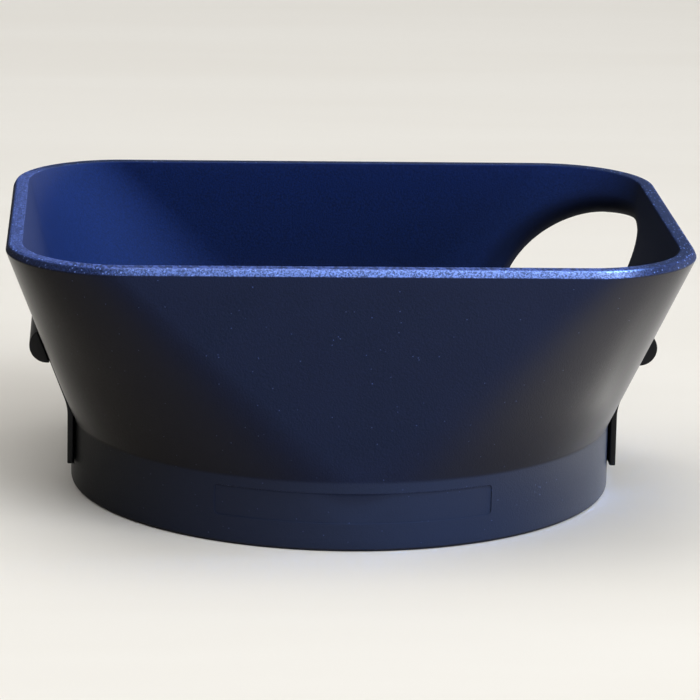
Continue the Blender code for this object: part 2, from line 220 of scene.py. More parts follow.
class Graph:
    """A node tree that is filled by calls, for shaders and for geometry alike."""

    def __init__(self, tree: bpy.types.NodeTree) -> None:
        """Wrap an existing tree."""
        self.tree = tree

    def node(
        self,
        kind: str,
        settings: Mapping[str, Any] | None = None,
        inputs: Mapping[str | int, Any] | None = None,
    ) -> bpy.types.Node:
        """Add a node.

        Args:
            kind: The node's type name.
            settings: Properties, which are set before the sockets.
            inputs: Values or fields for sockets, by name or index.

        Returns:
            The new node.
        """
        made = self.tree.nodes.new(kind)
        for name, value in (settings or {}).items():
            setattr(made, name, value)
        for key, value in (inputs or {}).items():
            self.put(made.inputs[key], value)
        return made

    def put(self, socket: bpy.types.NodeSocket, value: Any) -> None:
        """Link a field to a socket, or set a plain value on it.

        Args:
            socket: An input of a node in this tree.
            value: The field or the plain value.
        """
        if isinstance(value, Field):
            self.tree.links.new(value.socket, socket)
        else:
            socket.default_value = value

    def out(
        self,
        kind: str,
        settings: Mapping[str, Any] | None = None,
        inputs: Mapping[str | int, Any] | None = None,
        output: str | int = 0,
    ) -> Field:
        """Add a node and return one of its outputs as a field."""
        return Field(self, self.node(kind, settings, inputs).outputs[output])

    def blend(self, share: Field, first: Any, second: Any) -> Field:
        """Mix two colours.

        Args:
            share: Share of the second colour.
            first: Colour or colour field where the share is zero.
            second: Colour or colour field where it is one.

        Returns:
            The mixed colour.
        """
        settings = {"data_type": "RGBA", "blend_type": "MIX", "clamp_factor": True}
        colours = {6: rgba(first), 7: rgba(second)}
        return self.out("ShaderNodeMix", settings, {0: share, **colours}, 2)


def rgba(colour: Any) -> Any:
    """Give a plain colour its alpha, and pass a field through."""
    return colour if isinstance(colour, Field) else (*colour, 1.0)


class Paint(Graph):
    """The node tree of one new material, with its surface shader and a few common patterns."""

    def __init__(self, name: str) -> None:
        """Make the material and find its shader.

        Args:
            name: Name of the material.
        """
        self.material = bpy.data.materials.new(name)
        self.material.use_nodes = True
        super().__init__(self.material.node_tree)
        self.shader = self.tree.nodes["Principled BSDF"]
        self.place = self.out("ShaderNodeTexCoord", output="Object")

    def axis(self, name: str) -> Field:
        """One coordinate of the surface point, in metres."""
        return self.out("ShaderNodeSeparateXYZ", inputs={0: self.place}, output=name)

    def noise(self, pattern: Noise) -> Field:
        """Smooth noise whose features are about one grain across.

        Args:
            pattern: Sizes of the noise.

        Returns:
            The noise value, about zero to one.
        """
        place = self.place
        if pattern.stretch is not None:
            scaled = {"Vector": self.place, "Scale": pattern.stretch}
            place = self.out("ShaderNodeMapping", inputs=scaled)
        inputs = {
            "Vector": place,
            "Scale": 1.0 / pattern.grain,
            "Detail": pattern.detail,
            "Roughness": pattern.roughness,
        }
        return self.out("ShaderNodeTexNoise", inputs=inputs)

    def specks(self, scatter: Scatter) -> Field:
        """Scattered round specks.

        Args:
            scatter: Size, number and strength of the specks.

        Returns:
            The strength inside a speck, and zero elsewhere.
        """
        inputs = {"Vector": self.place, "Scale": 1.0 / scatter.spacing}
        cells = self.node("ShaderNodeTexVoronoi", inputs=inputs)
        distance = Field(self, cells.outputs["Distance"])
        drawn = Field(self, cells.outputs["Color"])
        chance = self.out("ShaderNodeSeparateColor", inputs={0: drawn})
        return distance.below(scatter.radius) * chance.below(scatter.share) * scatter.strength

    def vector(self, operation: str, first: Any, second: Any = (0.0, 0.0, 0.0)) -> Field:
        """A vector worked out from one or two vectors."""
        return self.out("ShaderNodeVectorMath", {"operation": operation}, {0: first, 1: second})

    def dot(self, first: Any, second: Any) -> Field:
        """Dot product of two vectors."""
        settings = {"operation": "DOT_PRODUCT"}
        return self.out("ShaderNodeVectorMath", settings, {0: first, 1: second}, "Value")

    def normal(self) -> Field:
        """The surface's own normal, before any relief."""
        return self.out("ShaderNodeNewGeometry", output="Normal")

    def outward(self) -> Field:
        """How squarely the surface faces away from the upright axis, from minus one to one."""
        flat = self.vector("MULTIPLY", self.place, (1.0, 1.0, 0.0))
        return self.dot(self.vector("NORMALIZE", flat), self.normal())

    def upward(self) -> Field:
        """How squarely the surface faces up, from minus one to one."""
        return self.out("ShaderNodeSeparateXYZ", inputs={0: self.normal()}, output="Z")

    def oval(self, frame: Matrix, radii: Point2) -> Field:
        """Distance from the axis of an oval, as a share of its radius there.

        Args:
            frame: The oval's plane, with its long and short axes along X and Y.
            radii: Its long and short radius in metres.

        Returns:
            One on the oval, less within it and more around it.
        """
        away = self.vector("SUBTRACT", self.place, frame.translation)
        axes = (frame.col[0].to_3d(), frame.col[1].to_3d())
        shares = [self.dot(away, axis / radius) for radius, axis in zip(radii, axes)]
        return (shares[0] ** 2.0 + shares[1] ** 2.0) ** 0.5

    def relief(self, height: Field, depth: float, strength: float) -> Field:
        """A normal bent by a height pattern of a given depth in metres."""
        inputs = {"Height": height, "Distance": depth, "Strength": strength}
        return self.out("ShaderNodeBump", inputs=inputs)

    def fill(self, shader: bpy.types.Node, inputs: Mapping[str, Any]) -> None:
        """Set a shader's sockets, with spaces in their names written as underscores."""
        for name, value in inputs.items():
            self.put(shader.inputs[name.replace("_", " ")], value)

    def surface(self, **inputs: Any) -> bpy.types.Material:
        """Set the surface shader's sockets and return the material."""
        self.fill(self.shader, inputs)
        return self.material

    def over(self, share: Field, **inputs: Any) -> bpy.types.Material:
        """Lay a second shader over the first.

        Args:
            share: Share of the second shader.
            **inputs: Its sockets, named as for fill.

        Returns:
            The material.
        """
        above = self.node("ShaderNodeBsdfPrincipled")
        self.fill(above, inputs)
        below = Field(self, self.shader.outputs[0])
        layers = {0: share, 1: below, 2: Field(self, above.outputs[0])}
        mixed = self.out("ShaderNodeMixShader", inputs=layers)
        self.put(self.tree.nodes["Material Output"].inputs["Surface"], mixed)
        return self.material


class ShellPaint(Paint):
    """The moulding's node tree, with its noises and the shell's zones as shares up to one."""

    def __init__(self, finish: MouldedBlack) -> None:
        """Make the material and find the zones.

        Args:
            finish: Gives the noises and the limits of the zones.
        """
        super().__init__("moulded_black")
        self.fine = self.noise(finish.fine)
        self.soft = self.noise(finish.soft)
        self.coarse = self.noise(finish.edge)
        self.speckle = self.coarse.ramp(*finish.speckle_span)
        self.across, self.along, self.height = (self.axis(name) for name in "XYZ")
        upward = self.upward()
        self.inside = self.outward().ramp(*finish.inside_span)
        self.outside = 1.0 - self.inside
        self.rim = self.height.ramp(*finish.rim_span)
        self.band = self.rim * self.outside
        self.top = self.rim * upward.ramp(*finish.top_span)
        # faces that look down, which take the painted bounce light
        self.under = upward.ramp(*finish.table_bounce_span) * self.outside
        # the ring below the flare, painted paler as painted light
        self.foot = self.height.ramp(*finish.foot_span) * self.outside
        # the rim's ends, where the painted highlight fades into painted shade and the finish is duller
        self.right_end = self.across.ramp(*finish.right_span)
        self.left_end = self.across.ramp(*finish.left_span)
        right = self.right_end * finish.right_part
        left = self.across.ramp(*finish.left_run_span) * finish.left_run_part
        self.ends = right + left + self.left_end * finish.left_part
        right = self.across.ramp(*finish.right_side_span)
        self.sides = right + self.across.ramp(*finish.left_side_span)
        # front of the rim band, where more painted glints sit and the finish is smoother
        self.worn = self.band * self.along.ramp(*finish.worn_span) * (1.0 - self.ends)


@dataclass(frozen=True)
class MouldedBlack:
    """Spark-eroded black moulding: a fine matte grain and pale dust-fine specks, with painted light: a
    painted blue highlight, painted reflection and painted glints on the rim, a blue-lit inside, a paler
    ring, warm bounce light on faces that look down, and painted shade on the window's lip.

    A span holds the values at which a share starts and is full.
    """

    deep: Colour = (0.0022, 0.0024, 0.0036)
    raised: Colour = (0.0050, 0.0054, 0.0078)
    # painted light: the inside's navy stands in for blue light falling into the hood
    blue_lit_lining_deep: Colour = (0.0009, 0.0024, 0.0074)
    blue_lit_lining: Colour = (0.0031, 0.0069, 0.0200)
    # painted shade on the window's lip
    lip: Colour = (0.0006, 0.0017, 0.0055)
    # painted light: warm light bounced up from the table, on faces that look down
    table_bounce: Colour = (0.0082, 0.0066, 0.0050)
    # painted light: the upright ring is painted paler than the flare above it
    foot: Colour = (0.0104, 0.0106, 0.0110)
    speck: Colour = (0.10, 0.11, 0.14)
    # painted highlight: blue light along the rim's round-over
    band: Colour = (0.022, 0.030, 0.060)
    # painted reflection: blue light on the rim's top face
    top: Colour = (0.033, 0.035, 0.056)
    # painted glints on the rim
    glint: Colour = (0.090, 0.100, 0.130)
    tint: Colour = (1.0, 0.97, 0.94)
    fine: Noise = Noise(0.18 * MM, 2.0, 0.6)
    soft: Noise = Noise(7.0 * MM, 3.0, 0.55)
    edge: Noise = Noise(0.19 * MM, 3.0, 0.65)
    patch: Noise = Noise(0.34 * MM, 2.0, 0.65, (1.0, 0.30, 1.0))
    dust: Scatter = Scatter(0.66 * MM, 0.075, 0.38, 0.46)
    sparkle: Scatter = Scatter(0.30 * MM, 0.30, 0.30, 0.6)
    inside_span: Span = (0.35, 0.05)
    rim_span: Span = (27.80 * MM, 27.92 * MM)
    top_span: Span = (0.55, 0.85)
    table_bounce_span: Span = (-0.06, -0.36)
    foot_span: Span = (7.3 * MM, 6.9 * MM)
    right_span: Span = (25.0 * MM, 30.0 * MM)
    left_span: Span = (-21.5 * MM, -27.0 * MM)
    left_run_span: Span = (-4.0 * MM, -21.5 * MM)
    right_side_span: Span = (28.0 * MM, 32.0 * MM)
    left_side_span: Span = (-28.0 * MM, -32.0 * MM)
    worn_span: Span = (-19.5 * MM, -26.8 * MM)
    lit_top_span: Span = (25.5 * MM, 17.0 * MM)
    speckle_span: Span = (0.40, 0.62)
    skin_span: Span = (0.30, 0.70)
    lining_span: Span = (0.25, 0.75)
    lip_shade_span: Span = (1.32, 1.10)
    lip_shade_side_span: Span = (0.0, 4.0 * MM)
    sheen_span: Span = (0.25, 1.0)
    cone_side_span: Span = (6.0 * MM, -14.0 * MM)
    cone_low_span: Span = (26.0 * MM, 13.0 * MM)
    right_part: float = 0.95
    left_run_part: float = 0.30
    left_part: float = 0.58
    skin_fine: float = 0.6
    lining_fine: float = 0.8
    painted_light_least: float = 0.7
    band_least: float = 0.15
    band_end_shade: float = 0.85
    top_least: float = 0.12
    top_end_shade: float = 0.90
    top_glints: float = 0.5
    band_glints: float = 0.2
    end_glints: float = 0.6
    roughness: float = 0.64
    fine_swing: float = 0.24
    soft_swing: float = 0.08
    polish: float = 0.20
    dullness: float = 0.34
    index: float = 1.20
    sheen_blend: float = 0.5
    sheen_power: float = 2.5
    cone_power: float = 4.6
    foot_fade: float = 0.6
    worn_coat: float = 0.32
    speckle_coat: float = 0.90
    coat_roughness: float = 0.36
    coat_index: float = 1.65
    lining_roughness: float = 0.74
    lining_swing: float = 0.20
    lining_index: float = 1.17
    edge_relief: float = 4.5
    side_calm: float = 0.30
    grain_depth: float = 0.022 * MM
    grain_strength: float = 0.8

    def material(self, window: Window) -> bpy.types.Material:
        """Build the moulded plastic.

        Args:
            window: The viewfinder window, whose lip is painted darker, as painted shade.

        Returns:
            The material.
        """
        paint = ShellPaint(self)
        normal = self.normal(paint)
        paint.surface(
            Base_Color=self.outer_colour(paint),
            Roughness=self.gloss(paint),
            Normal=normal,
            IOR=self.index,
            Coat_Weight=self.glance(paint),
            Coat_Roughness=self.coat_roughness,
            Coat_IOR=self.coat_index,
            Specular_Tint=rgba(self.tint),
        )
        return paint.over(
            paint.inside * (1.0 - paint.top),
            Base_Color=self.blue_lit_lining_colour(paint, window),
            Roughness=self.lining_roughness + paint.fine.swing(self.lining_swing),
            Normal=normal,
            IOR=self.lining_index,
        )

    def normal(self, paint: ShellPaint) -> Field:
        """Normal of the grain, which is coarser on the rim.

        Args:
            paint: The moulding's node tree.

        Returns:
            The normal.
        """
        zone = (paint.band + paint.top) * paint.sides.faded(self.side_calm)
        height = paint.fine + paint.coarse * zone * self.edge_relief
        return paint.relief(height, self.grain_depth, self.grain_strength)

    def skin_colour(self, paint: ShellPaint) -> Field:
        """Colour of the plain skin, with painted light: paler on the ring, and paler and warmer where it
        leans over, as if lit by light bounced up from the table.

        Args:
            paint: The moulding's node tree.

        Returns:
            The colour.
        """
        grain = paint.fine.ramp(*self.skin_span).mixed(paint.soft, self.skin_fine)
        skin = paint.blend(grain, self.deep, self.raised)
        # painted light on the ring and on faces that look down
        broken = paint.fine.lifted(self.painted_light_least)
        footed = paint.blend(paint.foot * broken, skin, self.foot)
        return paint.blend(paint.under * broken, footed, self.table_bounce)

    def outer_colour(self, paint: ShellPaint) -> Field:
        """Colour of the outside: the plain skin with a painted blue highlight and painted glints on the rim,
        and dust.

        Args:
            paint: The moulding's node tree.

        Returns:
            The colour.
        """
        # painted blue highlight on the rim band, faded to painted shade at its ends
        edge = paint.band * paint.speckle.lifted(self.band_least) * paint.ends.faded(self.band_end_shade)
        edged = paint.blend(edge, self.skin_colour(paint), self.band)
        patches = paint.noise(self.patch).ramp(*self.speckle_span)
        mottle = patches + (paint.speckle - patches) * paint.sides
        # painted reflection on the rim's top, left out at the back and faded to painted shade at the right
        # end
        lit_top_share = paint.along.ramp(*self.lit_top_span) * paint.right_end.faded(self.top_end_shade)
        lit_top = paint.top * lit_top_share * mottle.lifted(self.top_least)
        topped = paint.blend(lit_top, edged, self.top)
        dusted = paint.blend(paint.specks(self.dust), topped, self.speck)
        # painted glints, most on the front of the rim band and at its ends
        on_top = paint.top * (self.top_glints + paint.sides * self.end_glints)
        on_band = paint.band * (self.band_glints + paint.ends * self.end_glints)
        glints = paint.specks(self.sparkle) * (paint.worn + on_top + on_band)
        return paint.blend(glints, dusted, self.glint)

    def gloss(self, paint: ShellPaint) -> Field:
        """Roughness of the outside, lower where it is worn and higher at the rim's ends.

        Args:
            paint: The moulding's node tree.

        Returns:
            The roughness.
        """
        right = paint.right_end * (paint.band + paint.top) * self.dullness
        dull = right + paint.left_end * paint.band * self.dullness
        grain = paint.fine.swing(self.fine_swing) + paint.soft.swing(self.soft_swing)
        return self.roughness + grain - paint.worn * self.polish + dull

    def glance(self, paint: ShellPaint) -> Field:
        """Weight of the coat: a sheen on skin seen edge-on, and polish on the worn rim.

        Args:
            paint: The moulding's node tree.

        Returns:
            The coat's weight.
        """
        inputs = {"Blend": self.sheen_blend}
        facing = paint.out("ShaderNodeLayerWeight", inputs=inputs, output="Facing")
        edge_on = facing.ramp(*self.sheen_span)
        cone = paint.across.ramp(*self.cone_side_span) * paint.height.ramp(*self.cone_low_span)
        sheen = edge_on**self.sheen_power * (1.0 - cone) + edge_on**self.cone_power * cone
        grazing = sheen * paint.outside * (1.0 - paint.rim) * paint.foot.faded(self.foot_fade)
        polish = self.worn_coat + paint.speckle * self.speckle_coat
        return grazing + paint.worn * (1.0 - facing) * polish

    def blue_lit_lining_colour(self, paint: ShellPaint, window: Window) -> Field:
        """Colour of the inside: painted blue light over the grain, darker on the window's lip as painted
        shade.

        Args:
            paint: The moulding's node tree.
            window: The viewfinder window.

        Returns:
            The colour.
        """
        grain = paint.fine.ramp(*self.lining_span).mixed(paint.soft, self.lining_fine)
        blue_lit_grain = paint.blend(grain, self.blue_lit_lining_deep, self.blue_lit_lining)
        # painted shade: darker round the window's lip
        around = paint.oval(window.frame(), (window.long_radius, window.short_radius))
        lip = around.ramp(*self.lip_shade_span) * paint.along.ramp(*self.lip_shade_side_span)
        return paint.blend(lip, blue_lit_grain, self.lip)


@dataclass(frozen=True)
class SatinBlack:
    """Black-finished sheet steel, smoother than the moulding, with faint drawing marks."""

    name: str
    dark: Colour = (0.0018, 0.0020, 0.0030)
    pale: Colour = (0.0042, 0.0045, 0.0064)
    bare: Colour = (0.06, 0.06, 0.07)
    drawn: Noise = Noise(0.9 * MM, 3.0, 0.6, (1.0, 0.08, 1.0))
    fine: Noise = Noise(0.14 * MM, 2.0, 0.6)
    worn: Scatter = Scatter(0.7 * MM, 0.10, 0.12, 0.5)
    drawn_part: float = 0.6
    roughness: float = 0.46
    drawn_swing: float = 0.16
    fine_swing: float = 0.10
    drawn_relief: float = 0.7
    relief_depth: float = 0.008 * MM
    relief_strength: float = 0.6
    index: float = 1.33

    def material(self) -> bpy.types.Material:
        """Build the satin black metal.

        Returns:
            The material.
        """
        paint = Paint(self.name)
        drawn, fine = paint.noise(self.drawn), paint.noise(self.fine)
        base = paint.blend(drawn.mixed(fine, self.drawn_part), self.dark, self.pale)
        height = fine + drawn * self.drawn_relief
        return paint.surface(
            Base_Color=paint.blend(paint.specks(self.worn), base, self.bare),
            Roughness=self.roughness + drawn.swing(self.drawn_swing) + fine.swing(self.fine_swing),
            Normal=paint.relief(height, self.relief_depth, self.relief_strength),
            IOR=self.index,
        )


@dataclass(frozen=True)
class DrawnSteel:
    """Bright drawn steel of the pins and springs, with fine lengthwise lines."""

    pale: Colour = (0.56, 0.56, 0.58)
    dark: Colour = (0.33, 0.33, 0.35)
    lines: Noise = Noise(0.12 * MM, 2.0, 0.6, (1.0, 0.05, 1.0))
    film: Noise = Noise(1.6 * MM, 2.0, 0.5)
    line_part: float = 0.5
    roughness: float = 0.24
    film_roughness: float = 0.16
    relief_depth: float = 0.004 * MM
    relief_strength: float = 0.5

    def material(self) -> bpy.types.Material:
        """Build the bright steel.

        Returns:
            The material.
        """
        paint = Paint("drawn_steel")
        lines, film = paint.noise(self.lines), paint.noise(self.film)
        return paint.surface(
            Base_Color=paint.blend(lines.mixed(film, self.line_part), self.dark, self.pale),
            Roughness=self.roughness + film * self.film_roughness,
            Metallic=1.0,
            Normal=paint.relief(lines, self.relief_depth, self.relief_strength),
        )


@dataclass(frozen=True)
class PaleTable:
    """Pale, almost white table top with a trace of warm, long-drawn grain."""

    cream: Colour = (0.845, 0.83, 0.785)
    white: Colour = (0.875, 0.865, 0.825)
    band: Noise = Noise(30.0 * MM, 3.0, 0.55, (0.16, 1.0, 1.0))
    fibre: Noise = Noise(2.0 * MM, 3.0, 0.6, (0.05, 1.0, 1.0))
    band_span: Span = (0.30, 0.70)
    band_part: float = 0.75
    roughness: float = 0.55
    fibre_roughness: float = 0.1
    relief_depth: float = 0.01 * MM
    relief_strength: float = 0.4

    def material(self) -> bpy.types.Material:
        """Build the table top.

        Returns:
            The material.
        """
        paint = Paint("pale_table")
        band, fibre = paint.noise(self.band), paint.noise(self.fibre)
        grain = band.ramp(*self.band_span).mixed(fibre, self.band_part)
        return paint.surface(
            Base_Color=paint.blend(grain, self.cream, self.white),
            Roughness=self.roughness + fibre * self.fibre_roughness,
            Normal=paint.relief(fibre, self.relief_depth, self.relief_strength),
        )


def link(piece: bpy.types.Object) -> bpy.types.Object:
    """Put an object in the scene and return it."""
    bpy.context.scene.collection.objects.link(piece)
    return piece


def shade(mesh: bpy.types.Mesh, degrees: float = SHARP_DEGREES) -> None:
    """Smooth a mesh and keep edges over an angle sharp."""
    mesh.shade_smooth()
    mesh.set_sharp_from_angle(angle=math.radians(degrees))


def from_bmesh(name: str, shape: bmesh.types.BMesh) -> bpy.types.Object:
    """Weld a shape, point its faces outwards and make it an object.

    Args:
        name: Name of the new object.
        shape: The shape, which is freed.

    Returns:
        The object, in the scene.
    """
    bmesh.ops.remove_doubles(shape, verts=shape.verts, dist=MERGE)
    bmesh.ops.dissolve_degenerate(shape, edges=shape.edges, dist=MERGE)
    bmesh.ops.recalc_face_normals(shape, faces=shape.faces)
    mesh = bpy.data.meshes.new(name)
    shape.to_mesh(mesh)
    shape.free()
    return link(bpy.data.objects.new(name, mesh))


def bake(piece: bpy.types.Object) -> bpy.types.Object:
    """Turn a piece's modifiers into its plain mesh.

    Args:
        piece: An object with modifiers.

    Returns:
        The same object, without them.
    """
    bpy.context.view_layer.update()
    graph = bpy.context.evaluated_depsgraph_get()
    mesh = bpy.data.meshes.new_from_object(piece.evaluated_get(graph))
    piece.modifiers.clear()
    piece.data = mesh
    mesh.name = piece.name
    return piece


def bridge(shape: bmesh.types.BMesh, loops: Sequence[Sequence[bmesh.types.BMVert]]) -> None:
    """Join each loop of points to the next one with a band of faces.

    Args:
        shape: The shape that holds the points.
        loops: Loops of equal point count, in order. A pole is one point, repeated.
    """
    for lower, upper in zip(loops, loops[1:]):
        for k, corner in enumerate(lower):
            after = (k + 1) % len(lower)
            corners = dict.fromkeys((corner, lower[after], upper[after], upper[k]))
            shape.faces.new(list(corners))


def loft(name: str, rings: Sequence[Sequence[Vector]], bent_ends: bool = False) -> bpy.types.Object:
    """Skin a row of rings of equal point count and close both ends.

    Args:
        name: Name of the new object.
        rings: Loops of points, in order.
        bent_ends: Whether the end loops aren't flat, and so are filled with triangles.

    Returns:
        The closed object.
    """
    shape = bmesh.new()
    loops = [[shape.verts.new(point) for point in ring] for ring in rings]
    bridge(shape, loops)
    for loop in (loops[0], loops[-1]):
        if bent_ends:
            edges = [shape.edges.get(pair) for pair in zip(loop, loop[1:] + loop[:1])]
            bmesh.ops.triangle_fill(shape, edges=edges, use_beauty=True)
        else:
            shape.faces.new(loop)
    return from_bmesh(name, shape)


def prism(
    name: str,
    outline: Sequence[Point2],
    y_low: float,
    y_high: float,
    side: Side,
) -> bpy.types.Object:
    """Extrude an outline of X and Z along Y, mirrored to one side.

    Args:
        name: Name of the new object.
        outline: Corner points on the right-hand side.
        y_low: Front end.
        y_high: Rear end.
        side: Side of the hood.

    Returns:
        The closed prism.
    """
    rings = [[Vector((side.value * x, y, z)) for x, z in outline] for y in (y_low, y_high)]
    return loft(name, rings)


def revolve(name: str, profile: Sequence[Point2]) -> bpy.types.Object:
    """Turn a half section about Z.

    Args:
        name: Name of the new object.
        profile: Radius and height of its points. A radius of zero makes a pole.

    Returns:
        The round object.
    """
    shape = bmesh.new()
    loops = []
    for radius, z in profile:
        if radius <= 0:
            loops.append([shape.verts.new((0.0, 0.0, z))] * ROUND_SIDES)
        else:
            loops.append([shape.verts.new((x, y, z)) for x, y in circle(0.0, 0.0, radius)])
    bridge(shape, loops)
    return from_bmesh(name, shape)


def circle(x: float, z: float, radius: float, sides: int = ROUND_SIDES) -> list[Point2]:
    """Points of a circle about a centre."""
    turns = [2 * math.pi * k / sides for k in range(sides)]
    return [(x + radius * math.cos(a), z + radius * math.sin(a)) for a in turns]


def soften(piece: bpy.types.Object, edge: Softening) -> bpy.types.Object:
    """Round the sharp edges of a piece.

    Args:
        piece: The object.
        edge: How its edges are rounded.

    Returns:
        The same object.
    """
    bevel = piece.modifiers.new("soft_edges", "BEVEL")
    bevel.width = edge.width
    bevel.segments = edge.segments
    bevel.limit_method = "ANGLE"
    bevel.angle_limit = math.radians(edge.degrees)
    bevel.use_clamp_overlap = True
    return bake(piece)


def combine(piece: bpy.types.Object, helper: bpy.types.Object, cut: Cut) -> None:
    """Join a helper to a piece or take it away, then delete the helper.

    Args:
        piece: The object that is changed.
        helper: The closed shape.
        cut: What the helper does.
    """
    modifier = piece.modifiers.new(helper.name, "BOOLEAN")
    modifier.operation = cut.value
    modifier.object = helper
    modifier.solver = "EXACT"
    bake(piece)
    bpy.data.objects.remove(helper, do_unlink=True)


def eased(share: float) -> float:
    """Smooth step between zero and one."""
    held = min(max(share, 0.0), 1.0)
    return held * held * (3.0 - 2.0 * held)


def curve_through(start: Vector, corner: Vector, end: Vector, steps: int) -> list[Vector]:
    """Points of a smooth bend from start to end that is pulled towards a corner."""
    shares = [step / steps for step in range(steps + 1)]
    return [start * (1 - s) ** 2 + corner * (2 * s * (1 - s)) + end * s**2 for s in shares]


def rounded(corners: Sequence[tuple[Vector, float]], steps: int) -> list[Vector]:
    """Round the corners of a closed outline.

    Args:
        corners: Each corner with the distance from it at which its bend starts and ends.
        steps: Spans in a bend.

    Returns:
        The outline's points, in order.
    """
    points: list[Vector] = []
    for k, (corner, reach) in enumerate(corners):
        before = corners[k - 1][0] - corner
        after = corners[(k + 1) % len(corners)][0] - corner
        if reach <= 0:
            points.append(corner.copy())
            continue
        start = corner + before * min(reach / before.length, BEND_LIMIT)
        end = corner + after * min(reach / after.length, BEND_LIMIT)
        points += curve_through(start, corner, end, steps)
    return points


def rounded_pairs(corners: Sequence[tuple[float, float, float]], steps: int = 5) -> list[Point2]:
    """Round a closed outline of X and Z, given as X, Z and bend reach."""
    lifted = [(Vector((x, z, 0.0)), reach) for x, z, reach in corners]
    return [(p.x, p.y) for p in rounded(lifted, steps)]


class GeometryTree(Graph):
    """A geometry tree with geometry in and out, a material and named inputs for its sizes."""

    def __init__(self, name: str, *sizes: str) -> None:
        """Make the tree and its interface.

        Args:
            name: Name of the tree.
            *sizes: Names of its size inputs.
        """
        super().__init__(bpy.data.node_groups.new(name, "GeometryNodeTree"))
        face = self.tree.interface
        face.new_socket("Geometry", in_out="INPUT", socket_type="NodeSocketGeometry")
        for label in sizes:
            face.new_socket(label, in_out="INPUT", socket_type="NodeSocketFloat")
        face.new_socket("Material", in_out="INPUT", socket_type="NodeSocketMaterial")
        face.new_socket("Geometry", in_out="OUTPUT", socket_type="NodeSocketGeometry")
        self.entry = self.node("NodeGroupInput")

    def given(self, label: str) -> Field:
        """One of the tree's inputs."""
        return Field(self, self.entry.outputs[label])

    def stored(self, label: str) -> Field:
        """A number stored on each point under a name."""
        return self.out("GeometryNodeInputNamedAttribute", {"data_type": "FLOAT"}, {"Name": label})

    def finish(self, geometry: Field) -> None:
        """Realize the result, give it the material input and send it out.

        Args:
            geometry: The result.
        """
        real = self.out("GeometryNodeRealizeInstances", inputs={0: geometry})
        inputs = {0: real, "Material": self.given("Material")}
        painted = self.out("GeometryNodeSetMaterial", inputs=inputs)
        self.node("NodeGroupOutput", inputs={0: painted})

    def run(self, piece: bpy.types.Object, values: Mapping[str, Any]) -> bpy.types.Object:
        """Run the finished tree on a piece and keep the plain mesh.

        Args:
            piece: The object that the tree works on.
            values: Inputs by their socket names.

        Returns:
            The piece, with its mesh replaced.
        """
        modifier = piece.modifiers.new(self.tree.name, "NODES")
        modifier.node_group = self.tree
        for item in self.tree.interface.items_tree:
            if item.item_type == "SOCKET" and item.in_out == "INPUT" and item.name in values:
                modifier[item.identifier] = values[item.name]
        return bake(piece)


